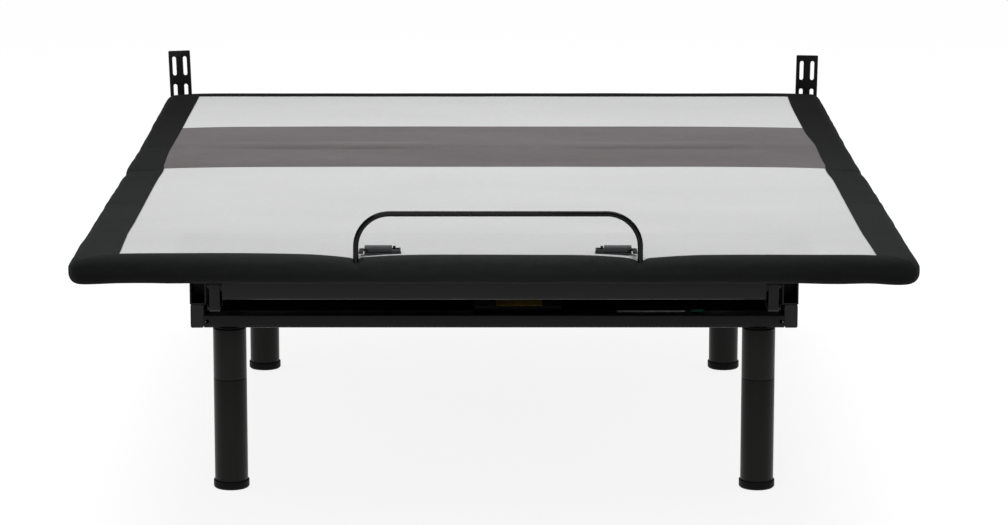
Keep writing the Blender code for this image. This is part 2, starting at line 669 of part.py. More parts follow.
def link_arm(name, side):
    """Pressed steel channel, open on its inner side, between a front upright and the foot frame."""
    front = LINK_FOOT_Y - LINK_END
    back = LINK_BASE_Y + LINK_END

    def outline(inset):
        low = LINK_BOTTOM + inset
        reach = LINK_END - inset
        points = [(front + 0.003, low), (back - 0.014, low), (back - inset, low + 0.014)]
        points += arc((LINK_BASE_Y, LINK_PIVOT_Z), reach, 0, 90, 5)
        points += arc((LINK_FOOT_Y, LINK_PIVOT_Z), reach, 90, 180, 5)
        points.append((front + inset, low + 0.003))
        return points

    x = sorted((side * LINK_INNER, side * LINK_OUTER))
    pocket = sorted((side * (LINK_INNER - 0.01), side * (LINK_OUTER - SHEET_STEEL)))
    piece = cut(prism("X", outline(0), *x), prism("X", outline(SHEET_STEEL), *pocket))
    cut(piece, rod("X", (LINK_FOOT_Y, LINK_PIVOT_Z), 0.0046, x[0] - 0.01, x[1] + 0.01, 12))
    cut(piece, rod("X", (LINK_BASE_Y, LINK_PIVOT_Z), AXLE_RADIUS + GAP, x[0] - 0.01, x[1] + 0.01, 12))
    bolt = sorted((side * (LINK_OUTER - 0.001), side * (LINK_OUTER + 0.0045)))
    join(piece, rod("X", (LINK_FOOT_Y, LINK_LOWER_BOLT_Z), 0.0052, *bolt, 6))
    put_origin(finish(piece, "foot_link_" + name, "black_powder_coat"), (0, LINK_BASE_Y, LINK_PIVOT_Z))


# ---- deck: plywood panels and padded covers ---------------------------------------------------
def deck_outline(edge, corner, front, back, round_front, round_back):
    """Plan of one section, with its outer corners rounded."""
    half = DECK_WIDTH / 2 - edge
    points = []
    if round_front:
        points += arc((-half + corner, front + corner), corner, 180, 270, 4)
        points += arc((half - corner, front + corner), corner, 270, 360, 4)
    else:
        points += [(-half, front), (half, front)]
    if round_back:
        points += arc((half - corner, back - corner), corner, 0, 90, 4)
        points += arc((-half + corner, back - corner), corner, 90, 180, 4)
    else:
        points += [(half, back), (-half, back)]
    return points


def bar_holes(radius):
    """Cutters for the retainer's two feet."""
    return [rod("Z", (BAR_X + side * BAR_HALF, BAR_Y), radius, BAR_BOTTOM - 0.02, DECK_TOP + 0.02, 14)
            for side in (-1, 1)]


def section(front, back, front_slant=None, back_slant=None):
    """Plywood panel and the padded cover over it. A slant is given where an end meets a hinge."""
    panel_top = DECK_BOTTOM + PANEL_THICKNESS
    panel_front = front + (COVER_LIP if front_slant is None else PANEL_SETBACK)
    panel_back = back - (COVER_LIP if back_slant is None else PANEL_SETBACK)
    corner = DECK_CORNER - COVER_LIP
    rounding = (front_slant is None, back_slant is None)
    outline = deck_outline(COVER_SIDE, corner, panel_front, panel_back, *rounding)
    panel = prism("Z", outline, DECK_BOTTOM, panel_top)
    soften(panel, DECK_BOTTOM, PANEL_CHAMFER, 1, panel_front, panel_back, *rounding)

    pad = prism("Z", deck_outline(0, DECK_CORNER, front, back, *rounding), DECK_BOTTOM, DECK_TOP)
    soften(pad, DECK_TOP, TOP_ROUND, 3, front, back, *rounding)
    soften(pad, DECK_BOTTOM, BOTTOM_ROUND, 2, front, back, *rounding)
    pocket_front = front - 0.01 if front_slant is not None else panel_front - GAP
    pocket_back = back + 0.01 if back_slant is not None else panel_back + GAP
    outline = deck_outline(COVER_SIDE - GAP, corner + GAP, pocket_front, pocket_back, *rounding)
    pocket = prism("Z", outline, DECK_BOTTOM - GAP, panel_top + GAP)
    soften(pocket, DECK_BOTTOM - GAP, PANEL_CHAMFER, 1, pocket_front, pocket_back, *rounding)
    cut(pad, pocket)
    for plane, slant, inward in ((front, front_slant, 1), (back, back_slant, -1)):
        if slant is not None:
            cut(pad, hinge_wedge(plane, slant, inward))
    return panel, pad


def soften(piece, level, width, segments, front, back, round_front, round_back):
    """Bevel the edges at one level, except those along a hinge."""
    bm = bmesh.new()
    bm.from_mesh(piece.data)
    edges = []
    for edge in bm.edges:
        ys = [vert.co.y for vert in edge.verts]
        at_level = all(abs(vert.co.z - level) < 1e-6 for vert in edge.verts)
        on_front_hinge = not round_front and all(abs(y - front) < 1e-6 for y in ys)
        on_back_hinge = not round_back and all(abs(y - back) < 1e-6 for y in ys)
        if at_level and not on_front_hinge and not on_back_hinge:
            edges.append(edge)
    bmesh.ops.bevel(bm, geom=edges, offset=width, segments=segments, profile=0.5, affect="EDGES",
                    clamp_overlap=True)
    bm.to_mesh(piece.data)
    bm.free()


def hinge_wedge(plane, slant, inward):
    """Cutter that slants a pad's end back from the hinge plane, so that the pads can fold together."""
    clear = 0.0015
    reach = (DECK_TOP + 0.01 - HINGE_Z) * math.tan(slant)
    outline = [(plane - inward * 0.02, DECK_BOTTOM - 0.01), (plane + inward * clear, DECK_BOTTOM - 0.01),
               (plane + inward * clear, HINGE_Z), (plane + inward * (clear + reach), DECK_TOP + 0.01),
               (plane - inward * 0.02, DECK_TOP + 0.01)]
    return prism("X", outline, -DECK_WIDTH, DECK_WIDTH)


def deck_sections():
    head_slant = HEAD_TRAVEL / 2
    thigh_slant = THIGH_TRAVEL / 2
    panel, pad = section(HEAD_HINGE_Y, DECK_BACK, front_slant=head_slant)
    for piece, name, look in ((panel, "head_panel", "plywood"), (pad, "head_pad", "cover_fabric")):
        put_origin(finish(piece, name, look), (0, HEAD_HINGE_Y, HINGE_Z))

    panel, pad = section(THIGH_HINGE_Y, HEAD_HINGE_Y, thigh_slant, head_slant)
    finish(panel, "seat_panel", "plywood")
    finish(pad, "seat_pad", "cover_fabric")

    panel, pad = section(KNEE_Y, THIGH_HINGE_Y, front_slant=0.0, back_slant=thigh_slant)
    for piece, name, look in ((panel, "thigh_panel", "plywood"), (pad, "thigh_pad", "cover_fabric")):
        put_origin(finish(piece, name, look), (0, THIGH_HINGE_Y, HINGE_Z))

    panel, pad = section(DECK_FRONT, KNEE_Y, back_slant=0.0)
    cut(panel, *bar_holes(BAR_RADIUS + 0.0004))
    cut(pad, *bar_holes(BAR_RADIUS + 0.0006))
    for piece, name, look in ((panel, "foot_panel", "plywood"), (pad, "foot_pad", "cover_fabric")):
        put_origin(finish(piece, name, look), (0, KNEE_Y, HINGE_Z))


# ---- drive ----------------------------------------------------------------------------------
def actuator(name, x, pivot_y, z, forward, motor_side):
    """Rear eye with its pin, gearbox, motor across it and the guide tube that the rod runs in."""
    def along(distance):
        return pivot_y + forward * distance

    eye = prism("X", circle((pivot_y, z), 0.0105, 14), x - 0.0135, x + 0.0135)
    neck_y = sorted((along(0.003), along(0.020)))
    gear_y = sorted((along(0.016), along(0.080)))
    guide_y = sorted((along(0.078), along(0.330)))
    bore_y = sorted((along(0.095), along(0.340)))
    join(eye, box((x - 0.0135, neck_y[0], z - 0.0085), (x + 0.0135, neck_y[1], z + 0.0085)))
    join(eye, prism("Y", rounded((x - 0.030, z - 0.028), (x + 0.030, z + 0.028), 0.006), *gear_y))
    join(eye, rod("Y", (x, z), 0.019, *guide_y, 20))
    cut(eye, rod("Y", (x, z), 0.0107, *bore_y, 16))
    motor_x = sorted((x + motor_side * 0.028, x + motor_side * 0.150))
    cap_x = sorted((x + motor_side * 0.149, x + motor_side * 0.158))
    join(eye, rod("X", (along(0.048), z), 0.0275, *motor_x, 20))
    join(eye, rod("X", (along(0.048), z), 0.023, *cap_x, 16))
    join(eye, rod("X", (pivot_y, z), AXLE_RADIUS, x - 0.0205, x + 0.0205, 12))
    join(eye, rod("X", (pivot_y, z), 0.0080, x - 0.0215, x - 0.0183, 12))
    join(eye, rod("X", (pivot_y, z), 0.0080, x + 0.0183, x + 0.0215, 12))
    finish(eye, name, "motor_plastic")


def push_rod(name, x, pivot_y, pin_y, z, forward):
    """Bright rod with an end block and the cross pin that works in the crank's slots."""
    shaft_y = sorted((pivot_y + forward * 0.110, pin_y - forward * 0.008))
    block_y = sorted((pin_y - forward * 0.012, pin_y + forward * 0.010))
    piece = rod("Y", (x, z), 0.010, *shaft_y, 16)
    join(piece, prism("Y", rounded((x - 0.0145, z - 0.011), (x + 0.0145, z + 0.011), 0.003), *block_y))
    join(piece, rod("X", (pin_y, z), 0.004, x - 0.0235, x + 0.0235, 12))
    join(piece, rod("X", (pin_y, z), 0.0075, x + CRANK_OUTER + GAP, x + 0.0245, 12))
    join(piece, rod("X", (pin_y, z), 0.0075, x - 0.0245, x - CRANK_OUTER - GAP, 12))
    put_origin(finish(piece, name, "bright_rod"), (x, pin_y, z))


def control_box():
    """Electronics box screwed to the back of the front cross tube."""
    front = FRONT_LEG_Y + CROSS_DEPTH / 2 + GAP
    piece = prism("Z", rounded((-0.040, front), (0.130, -0.442), 0.004), 0.3195, 0.350)
    for x in (-0.052, 0.128):
        join(piece, box((x, front, 0.3205), (x + 0.014, front + 0.030, 0.3235)))
    finish(piece, "control_box", "black_plastic")


def motor_leads():
    """Leads from the control box to the two motors."""
    head_motor_y = HEAD_PIVOT_Y + 0.048 - 0.0275
    head_route = [(0.000, -0.4415, 0.3300), (0.000, -0.4270, 0.3295), (-0.020, -0.3980, 0.3245),
                  (-0.080, -0.3760, 0.3225), (-0.150, -0.3740, 0.3225), (-0.195, -0.3700, 0.3260),
                  (-0.213, -0.3500, 0.3440), (-0.215, -0.3330, 0.3720), (-0.215, -0.3160, 0.3890),
                  (-0.215, head_motor_y - 0.0020, HEAD_ROD_Z)]
    foot_cap_x = ACTUATOR_X + 0.158
    foot_route = [(0.090, -0.4415, 0.3300), (0.090, -0.4270, 0.3295), (0.115, -0.3980, 0.3240),
                  (0.200, -0.3750, 0.3225), (0.290, -0.3740, 0.3235), (0.328, -0.3560, 0.3380),
                  (0.335, -0.3320, 0.3510), (0.335, -0.3040, 0.3510), (0.335, -0.2780, 0.3360),
                  (0.335, -0.2400, 0.3235), (0.338, -0.1200, 0.3225), (0.334, 0.0200, 0.3225),
                  (0.338, 0.1600, 0.3225), (0.340, 0.2500, 0.3240), (0.338, 0.2980, 0.3420),
                  (0.326, 0.3240, 0.3690), (0.303, 0.3300, FOOT_ROD_Z - 0.0010),
                  (foot_cap_x + 0.0020, FOOT_PIVOT_Y - 0.048, FOOT_ROD_Z)]
    for name, route in (("head_motor_lead", head_route), ("foot_motor_lead", foot_route)):
        points = smooth_route([Vector(place) for place in route], LEAD_SPACING)
        finish(rod_along(points, LEAD_RADIUS, 2), name, "black_rubber")


# ---- mattress retainer ------------------------------------------------------------------------
def retainer_bar():
    """Round bar bent to a wide arch. Its feet drop through the foot section."""
    points = [(BAR_X - BAR_HALF, BAR_BOTTOM)]
    points += arc((BAR_X - BAR_HALF + BAR_BEND, BAR_TOP - BAR_BEND), BAR_BEND, 180, 90, 9)
    points += arc((BAR_X + BAR_HALF - BAR_BEND, BAR_TOP - BAR_BEND), BAR_BEND, 90, 0, 9)
    points.append((BAR_X + BAR_HALF, BAR_BOTTOM))
    piece = rod_along([(x, BAR_Y, z) for x, z in points], BAR_RADIUS, 4)
    put_origin(finish(piece, "retainer_bar", "black_powder_coat"), (BAR_X, BAR_Y, BAR_BOTTOM))


def latch_plate(name, side):
    """Base plate with a raised sleeve and an open frame that the bolt's thumb pin slides in."""
    def span(inner, outer):
        return sorted((BAR_X + side * inner, BAR_X + side * outer))

    x = span(LATCH_INNER, SLEEVE_OUTER)
    top = LATCH_FLOOR + 0.002
    piece = prism("Z", rounded((x[0], LATCH_Y - 0.011), (x[1], LATCH_Y + 0.011), 0.002), LATCH_FLOOR, top)
    x = span(SLEEVE_INNER, SLEEVE_OUTER - 0.0005)
    outline = rounded((LATCH_Y - 0.0095, top - 0.001), (LATCH_Y + 0.0095, LATCH_FLOOR + 0.0135), 0.004)
    join(piece, prism("X", outline, *x))
    x = span(LATCH_INNER + 0.001, SLEEVE_INNER + 0.001)
    join(piece, box((x[0], LATCH_Y - 0.009, top - 0.001), (x[1], LATCH_Y + 0.009, LATCH_FLOOR + 0.0085)))
    x = span(LATCH_INNER + 0.003, SLEEVE_INNER + 0.002)
    cut(piece, box((x[0], LATCH_Y - 0.0055, BOLT_Z - 0.0015), (x[1], LATCH_Y + 0.0055, LATCH_FLOOR + 0.012)))
    x = span(SLEEVE_INNER - 0.005, SLEEVE_OUTER + 0.01)
    bolt_top = BOLT_Z + BOLT_THICKNESS
    cut(piece, box((x[0], LATCH_Y - 0.0050, BOLT_Z - GAP), (x[1], LATCH_Y + 0.0050, bolt_top + GAP)))
    x = span(SLEEVE_OUTER - SLEEVE_SLOT, SLEEVE_OUTER + 0.01)
    cut(piece, box((x[0], LATCH_Y - 0.0200, BOLT_Z - GAP), (x[1], LATCH_Y + 0.0040, bolt_top + GAP)))
    return finish(piece, "latch_plate_" + name, "latch_grey")


def latch_bolt(name, side):
    """Flat bolt through the sleeve. Its finger reaches forward and stops against the bar's foot."""
    def span(inner, outer):
        return sorted((BAR_X + side * inner, BAR_X + side * outer))

    top = BOLT_Z + BOLT_THICKNESS
    face = BAR_HALF - BAR_RADIUS - GAP
    x = span(BOLT_INNER, face - 0.001)
    piece = box((x[0], LATCH_Y - 0.0045, BOLT_Z), (x[1], LATCH_Y + 0.0045, top))
    x = span(face - 0.008, face)
    finger = rounded((x[0], BAR_Y - 0.004), (x[1], LATCH_Y + 0.004), 0.0015)
    join(piece, prism("Z", finger, BOLT_Z + GAP, top - GAP))
    join(piece, rod("Z", (BAR_X + side * BOLT_PIN_X, LATCH_Y), 0.0024, top - 0.001, top + 0.005, 12))
    put_origin(finish(piece, "latch_bolt_" + name, "latch_grey"), (BAR_X + side * face, LATCH_Y, BOLT_Z))


# ---- the whole bed base -----------------------------------------------------------------------
def build():
    for item in list(bpy.data.objects):
        bpy.data.objects.remove(item)
    for name, side in SIDES.items():
        side_rail(name, side)
        rail_cap(name, side)
        upright("front_upright_" + name, side, BASE_FRONT, 1, UPRIGHT_TOP)
        upright("back_upright_" + name, side, BASE_BACK, -1, DECK_BOTTOM - GAP)
        bumper(name, side)
        leg("front_" + name, side * LEG_X, FRONT_LEG_Y)
        leg("back_" + name, side * LEG_X, BACK_LEG_Y)
        headboard_arm(name, side)
        link_arm(name, side)
        latch_plate(name, side)
        latch_bolt(name, side)
    for name, (side, top, lean) in PLATES.items():
        headboard_plate(name, side, top, lean)
    cross_tube("front_cross_tube", FRONT_LEG_Y, BASE_FRONT)
    cross_tube("back_cross_tube", BACK_LEG_Y, BASE_BACK)
    motor_crossbar("front_motor_crossbar", -ACTUATOR_X, HEAD_PIVOT_Y, HEAD_ROD_Z)
    motor_crossbar("back_motor_crossbar", ACTUATOR_X, FOOT_PIVOT_Y, FOOT_ROD_Z)
    dust_cover()
    head_frame()
    seat_frame()
    thigh_frame()
    foot_frame()
    axle("head_axle", HEAD_HINGE_Y)
    axle("thigh_axle", THIGH_HINGE_Y)
    axle("knee_axle", KNEE_Y)
    deck_sections()
    actuator("head_actuator", -ACTUATOR_X, HEAD_PIVOT_Y, HEAD_ROD_Z, 1, -1)
    actuator("foot_actuator", ACTUATOR_X, FOOT_PIVOT_Y, FOOT_ROD_Z, -1, 1)
    push_rod("head_push_rod", -ACTUATOR_X, HEAD_PIVOT_Y, HEAD_ROD_Y, HEAD_ROD_Z, 1)
    push_rod("foot_push_rod", ACTUATOR_X, FOOT_PIVOT_Y, FOOT_ROD_Y, FOOT_ROD_Z, -1)
    control_box()
    motor_leads()
    retainer_bar()


build()
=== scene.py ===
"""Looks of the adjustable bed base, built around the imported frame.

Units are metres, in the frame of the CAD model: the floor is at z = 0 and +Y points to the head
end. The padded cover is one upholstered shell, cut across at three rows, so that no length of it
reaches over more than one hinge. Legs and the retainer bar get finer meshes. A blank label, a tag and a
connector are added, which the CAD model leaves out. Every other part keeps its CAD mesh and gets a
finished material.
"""
import json
import math

import bmesh
import bpy
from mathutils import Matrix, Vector, noise


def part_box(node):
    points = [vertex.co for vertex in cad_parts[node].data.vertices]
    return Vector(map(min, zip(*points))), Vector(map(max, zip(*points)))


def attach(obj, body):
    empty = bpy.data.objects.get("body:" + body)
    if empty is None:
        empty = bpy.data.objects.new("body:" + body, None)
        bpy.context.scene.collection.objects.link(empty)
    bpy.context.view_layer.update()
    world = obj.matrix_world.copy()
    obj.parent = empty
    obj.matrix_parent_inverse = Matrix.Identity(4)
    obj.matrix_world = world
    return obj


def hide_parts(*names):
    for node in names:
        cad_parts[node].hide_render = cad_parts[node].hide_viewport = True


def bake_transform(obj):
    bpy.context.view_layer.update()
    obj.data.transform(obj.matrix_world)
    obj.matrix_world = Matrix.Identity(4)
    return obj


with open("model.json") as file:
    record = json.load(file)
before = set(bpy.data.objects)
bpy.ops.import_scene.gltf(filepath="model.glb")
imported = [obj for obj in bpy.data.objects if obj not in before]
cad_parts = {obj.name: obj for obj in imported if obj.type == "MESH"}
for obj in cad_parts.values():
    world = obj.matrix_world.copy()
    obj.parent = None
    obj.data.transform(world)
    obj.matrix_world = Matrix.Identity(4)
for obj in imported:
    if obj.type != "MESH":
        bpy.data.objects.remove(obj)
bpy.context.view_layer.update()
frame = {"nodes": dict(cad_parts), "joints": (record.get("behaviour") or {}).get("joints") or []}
NODES = frame["nodes"]

# ---- places taken from the frame --------------------------------------------------------------
FOOT_LOW, FOOT_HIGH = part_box("foot_pad")
HEAD_LOW, HEAD_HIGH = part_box("head_pad")
DECK_HALF = FOOT_HIGH.x
DECK_FRONT = FOOT_LOW.y
DECK_BACK = HEAD_HIGH.y
DECK_TOP = FOOT_HIGH.z
DECK_BOTTOM = FOOT_LOW.z
PANEL_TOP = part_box("head_panel")[1].z
JOINTS = {joint["name"]: joint for joint in frame["joints"]}
HEAD_HINGE = JOINTS["head_lift"]["pos_m"][1]
THIGH_HINGE = JOINTS["thigh_lift"]["pos_m"][1]
KNEE_HINGE = JOINTS["knee_fold"]["pos_m"][1]
THIGH_CREASE = THIGH_HINGE - 0.010      # the border folds a little in front of the hinge
BAR_LOW, BAR_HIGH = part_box("retainer_bar")
BAR_Y = (BAR_LOW.y + BAR_HIGH.y) / 2
BAR_RADIUS = (BAR_HIGH.y - BAR_LOW.y) / 2
BAR_FEET = (BAR_LOW.x + BAR_RADIUS, BAR_HIGH.x - BAR_RADIUS)

# ---- cover: sizes ----------------------------------------------------------------------------
ROLL = 0.020                  # from the shell's straight inner outline to the deck's side
BOTTOM_ROLL = 0.016
LIP_OUT = -0.010              # under the plywood, where the cover's flat lip begins
LIP_BACK = -0.025             # and how far it is turned in
LIP_THICKNESS = 0.0007
LIP_LEVEL = DECK_BOTTOM - 0.0008
PANEL_EDGE = 0.0156           # clear of the plywood's front or back edge and of its chamfer
SIDE_FOAM = 0.0133            # how much wider the foam's edge is beside the plywood than at its ends
PANEL_CHAMFER = 0.0113
PANEL_GAP = 0.0004            # between the plywood's top and the foam
CELL = 0.020                  # spacing of the shell's rows and columns
FINE = 0.006                  # the same beside a crease
CORNER_STEPS = 6
ROLL_END = 0.062              # cloth length from the top's edge to where the lower roll ends
LIP_START = 0.070             # the same to where the flat lip begins
CORNER = 0.028                # radius of the finished cover's corners
SWELL = 0.0018                # furthest that the cloth simulation may move a point
SWELL_FRAMES = 20
SWELL_PRESSURE = 4.0
CUTS = (-0.135, -0.015, 0.455)          # where the shell is cut across, clear of every hinge's bend
LIGHT_HALF = 0.6733           # light top fabric: half width and its two ends
LIGHT_FRONT = DECK_FRONT + 0.024
LIGHT_BACK = DECK_BACK - 0.073
STRIP_FRONT = -0.049          # grey strip across the middle: its two seams
STRIP_BACK = 0.483
MITRE_OFFSET = 0.012          # the border's corner seams start this far behind LIGHT_FRONT

# ---- legs and small pieces: sizes -------------------------------------------------------------
LEG_GAP = 0.0003              # left between leg pieces that touch in the CAD model
LEG_EDGE = 0.0012             # radius of their edges
GLIDE_CHAMFER = 0.003
STUD_RADIUS = 0.006
TUBE_WALL = 0.002
TUBE_RECESS = 0.004
NECK_RADIUS = 0.025
NECK_HEIGHT = 0.0032
BAR_BEND = 0.060
CAD_EDGE = 0.0007             # edge radius given to the CAD meshes
WELD_DISTANCE = 0.00001


# ---- materials -------------------------------------------------------------------------------
class Graph:
    """Node graph of one material, with short calls for the nodes used here."""

    def __init__(self, name):
        self.material = bpy.data.materials.new(name)
        self.material.use_nodes = True
        self.tree = self.material.node_tree
        self.shader = self.tree.nodes["Principled BSDF"]

    def plug(self, socket, value):
        if isinstance(value, bpy.types.NodeSocket):
            self.tree.links.new(value, socket)
        else:
            socket.default_value = value

    def add(self, kind, inputs=None, **settings):
        node = self.tree.nodes.new("ShaderNode" + kind)
        for name, value in settings.items():
            setattr(node, name, value)
        for socket, value in (inputs or {}).items():
            self.plug(node.inputs[socket], value)
        return node

    def math(self, operation, *values):
        node = self.add("Math", operation=operation)
        for socket, value in zip(node.inputs, values):
            self.plug(socket, value)
        return node.outputs[0]

    def total(self, *values):
        result = values[0]
        for value in values[1:]:
            result = self.math("ADD", result, value)
        return result

    def product(self, *values):
        result = values[0]
        for value in values[1:]:
            result = self.math("MULTIPLY", result, value)
        return result

    def ramp(self, value, start, end, low=0.0, high=1.0):
        """Straight line from low at start to high at end, level beyond them."""
        sockets = {"Value": value, "From Min": start, "From Max": end, "To Min": low, "To Max": high}
        return self.add("MapRange", sockets).outputs[0]

    def hill(self, value, centre, width):
        """Smooth bump of height 1 round a centre."""
        away = self.math("DIVIDE", self.math("SUBTRACT", value, centre), width)
        return self.math("EXPONENT", self.product(away, away, -1.0))

    def hills(self, value, *bumps):
        """Sum of smooth bumps, each given as (centre, width, height)."""
        return self.total(*(self.product(self.hill(value, centre, width), height)
                            for centre, width, height in bumps))

    def line(self, distance, near, far):
        """1 within near of a line, falling to 0 at far from it."""
        return self.ramp(self.math("ABSOLUTE", distance), near, far, 1.0, 0.0)

    def mix(self, factor, first, second):
        node = self.add("Mix", data_type="RGBA")
        for index, value in ((0, factor), (6, first), (7, second)):
            if isinstance(value, tuple) and len(value) == 3:
                value = (*value, 1.0)
            self.plug(node.inputs[index], value)
        return node.outputs[2]

    def shade(self, colour, factor):
        """A colour made lighter or darker by a factor."""
        if isinstance(colour, tuple):
            colour = (*colour, 1.0)
        grey = self.add("CombineColor", {0: factor, 1: factor, 2: factor}).outputs[0]
        node = self.add("Mix", data_type="RGBA", blend_type="MULTIPLY")
        for index, value in ((0, 1.0), (6, colour), (7, grey)):
            self.plug(node.inputs[index], value)
        return node.outputs[2]

    def noise(self, place, scale, detail=2.0, roughness=0.5):
        sockets = {"Vector": place, "Scale": scale, "Detail": detail, "Roughness": roughness}
        return self.add("TexNoise", sockets).outputs[0]

    def stretch(self, place, scale):
        return self.add("Mapping", {"Vector": place, "Scale": scale}).outputs[0]

    def finish(self, colour, roughness, height=None, depth=0.001, uniform=None):
        """Plug the shader. A height from 0 to 1 is worth depth metres of bump."""
        if isinstance(colour, tuple):
            colour = (*colour, 1.0)
        self.plug(self.shader.inputs["Base Color"], colour)
        self.plug(self.shader.inputs["Roughness"], roughness)
        if height is not None:
            bump = self.add("Bump", {"Height": height, "Distance": depth, "Strength": 1.0})
            self.plug(self.shader.inputs["Normal"], bump.outputs[0])
        for name, value in (uniform or {}).items():
            self.shader.inputs[name].default_value = value
        return self.material


def woven_dots(graph, u, v, pitch):
    """Staggered dots from 0 to 1, one per pitch along both ways of the cloth."""
    waves = [graph.math("SINE", graph.math("MULTIPLY", way, 2 * math.pi / pitch)) for way in (u, v)]
    return graph.ramp(graph.product(*waves), -0.6, 0.8)


class CoverGraph(Graph):
    """The cover's graph: places on the flat cloth, and the noises that its fabrics share."""

    def __init__(self):
        super().__init__("cover_fabric")
        self.cloth = self.add("UVMap", uv_map="fabric").outputs[0]
        self.u, self.v = self.add("SeparateXYZ", {0: self.cloth}).outputs[:2]
        self.across = self.math("ABSOLUTE", self.u)
        self.clouds = self.drawn_noise(2.2, 5.0)
        self.threads = self.drawn_noise(26.0, 90.0, 0.6)

    def drawn_noise(self, per_u, per_v, roughness=0.5):
        """Noise with different scales across and along the deck."""
        return self.noise(self.stretch(self.cloth, (per_u, per_v, 1.0)), 1.0, 3.0, roughness)

    def dots(self, pitch):
        return woven_dots(self, self.u, self.v, pitch)


def light_outline(graph):
    """Distance inside the light top's outline. Its sides and its front edge wander a little."""
    u, v = graph.u, graph.v
    on_left = graph.ramp(u, -0.1, 0.1, 1.0, 0.0)
    on_right = graph.math("SUBTRACT", 1.0, on_left)
    left = graph.total(graph.ramp(v, -0.1, 0.2, -0.0008, 0.0048),
                       graph.hills(v, (-0.10, 0.08, -0.0026), (-1.0, 0.09, -0.0025),
                                   (-0.79, 0.06, 0.0014)))
    right = graph.total(graph.ramp(v, -0.1, 0.2, 0.0036, -0.0020),
                        graph.hills(v, (0.23, 0.10, 0.0062), (-0.11, 0.07, -0.0045),
                                    (-1.0, 0.16, 0.0050), (1.0, 0.16, 0.0050)))
    half = graph.total(LIGHT_HALF, graph.product(on_left, left), graph.product(on_right, right),
                       graph.hills(v, (0.10, 0.14, 0.0025), (-0.03, 0.03, 0.0015)))
    front = graph.total(LIGHT_FRONT, graph.ramp(u, -0.45, -0.28, 0.010, 0.0),
                        graph.hills(u, (-0.52, 0.16, 0.012), (BAR_FEET[1], 0.085, -0.007)))
    side_inside = graph.math("SUBTRACT", half, graph.across)
    front_inside = graph.math("SUBTRACT", v, front)
    back_inside = graph.math("SUBTRACT", LIGHT_BACK, v)
    return graph.math("MINIMUM", graph.math("MINIMUM", side_inside, front_inside), back_inside)


def strip_outline(graph):
    """Distance inside the grey strip. Its two seams bow towards the foot end at the sides."""
    outward = graph.math("DIVIDE", graph.across, LIGHT_HALF)
    bow = graph.product(graph.math("POWER", outward, 6.0), 0.022)
    along = graph.math("ADD", graph.v, bow)
    return graph.math("MINIMUM", graph.math("SUBTRACT", along, STRIP_FRONT),
                      graph.math("SUBTRACT", STRIP_BACK, along))


def light_fabric(graph, fibres, seams):
    """Colour of the light non-woven, with a faint oblong at the foot end and painted shade towards the head
    end.
    """
    oblong = graph.product(graph.ramp(graph.across, 0.565, 0.580, 1.0, 0.0),
                           graph.ramp(graph.v, -0.790, -0.780, 1.0, 0.0))
    tone = graph.total(0.97, graph.ramp(fibres, 0.3, 0.7, -0.05, 0.05),
                       graph.ramp(graph.clouds, 0.3, 0.7, -0.025, 0.025),
                       graph.product(oblong, -0.035), graph.product(seams, -0.25),
                       # painted shade: darker towards the head end
                       graph.ramp(graph.v, 0.45, 0.95, 0.0, -0.06))
    return graph.shade((0.578, 0.579, 0.583), tone)


def strip_fabric(graph, spacer, strip_seam):
    """Colour of the grey spacer mesh, with painted light and shade on the rucks beside the head section's
    hinge, and a painted step across the strip, darker on its foot side and lighter on its head side.
    """
    slub = graph.drawn_noise(3.0, 26.0, 0.6)
    # where the rucks' painted light and shade falls: between the strip's middle and its sides, patchy along
    # them
    ruck_painted_shading_reach = graph.product(graph.ramp(graph.across, 0.10, 0.20),
                           graph.ramp(graph.across, 0.50, 0.62, 1.0, 0.0),
                           graph.ramp(slub, 0.35, 0.65, 0.3, 1.3))
    # painted light and shade of the rucks: a lit band behind the hinge and a shaded band at it
    ruck_painted_light_and_shade = graph.hills(graph.v, (HEAD_HINGE + 0.066, 0.012, 0.16), (HEAD_HINGE - 0.002, 0.016, -0.20))
    tone = graph.total(graph.ramp(spacer, 0.0, 1.0, 0.80, 1.14),
                       graph.ramp(graph.clouds, 0.3, 0.7, -0.08, 0.08),
                       graph.ramp(graph.threads, 0.3, 0.7, -0.06, 0.06),
                       # painted step of light and shade: darker in front of this line, lighter behind it
                       graph.ramp(graph.v, HEAD_HINGE + 0.030, HEAD_HINGE + 0.050, -0.035, 0.045),
                       graph.product(ruck_painted_shading_reach, ruck_painted_light_and_shade), graph.product(strip_seam, -0.3))
    return graph.shade((0.153, 0.142, 0.144), tone)


def border_fabric(graph, mesh, seam, mitre_seam, on_front, beside):
    """Colour of the black mesh, with painted shade towards the head end, at the front corners and down the
    front roll, painted light on the roll's top, and a painted shade line in the crease over the thigh
    hinge.
    """
    # painted shade: the border darkens in the crease in front of the thigh hinge
    crease = graph.product(graph.hill(graph.v, THIGH_CREASE, 0.0035), graph.ramp(beside, 0.005, 0.020))
    tone = graph.total(graph.ramp(mesh, 0.0, 1.0, 0.40, 1.50),
                       graph.ramp(graph.clouds, 0.3, 0.7, -0.08, 0.08),
                       graph.ramp(graph.threads, 0.3, 0.7, -0.10, 0.10),
                       graph.product(mitre_seam, -0.55), graph.product(seam, -0.4),
                       graph.product(crease, -0.55))
    # painted light and shade down the front roll: lighter at its top, darker towards its bottom and towards
    # the front corners
    front_roll_painted_light_and_shade = graph.product(graph.ramp(graph.v, -1.070, -1.018, 0.20, 1.55),
                               graph.ramp(graph.across, 0.20, 0.60, 1.05, 0.52))
    front_roll_painted_shift = graph.product(on_front, graph.math("SUBTRACT", front_roll_painted_light_and_shade, 1.0))
    # painted shade: the whole border darkens towards the head end
    border_painted_light_and_shade = graph.product(graph.ramp(graph.v, -0.6, 0.7, 1.03, 0.12),
                           graph.math("ADD", 1.0, front_roll_painted_shift))
    return graph.shade((0.0164, 0.0172, 0.0175), graph.product(tone, border_painted_light_and_shade))


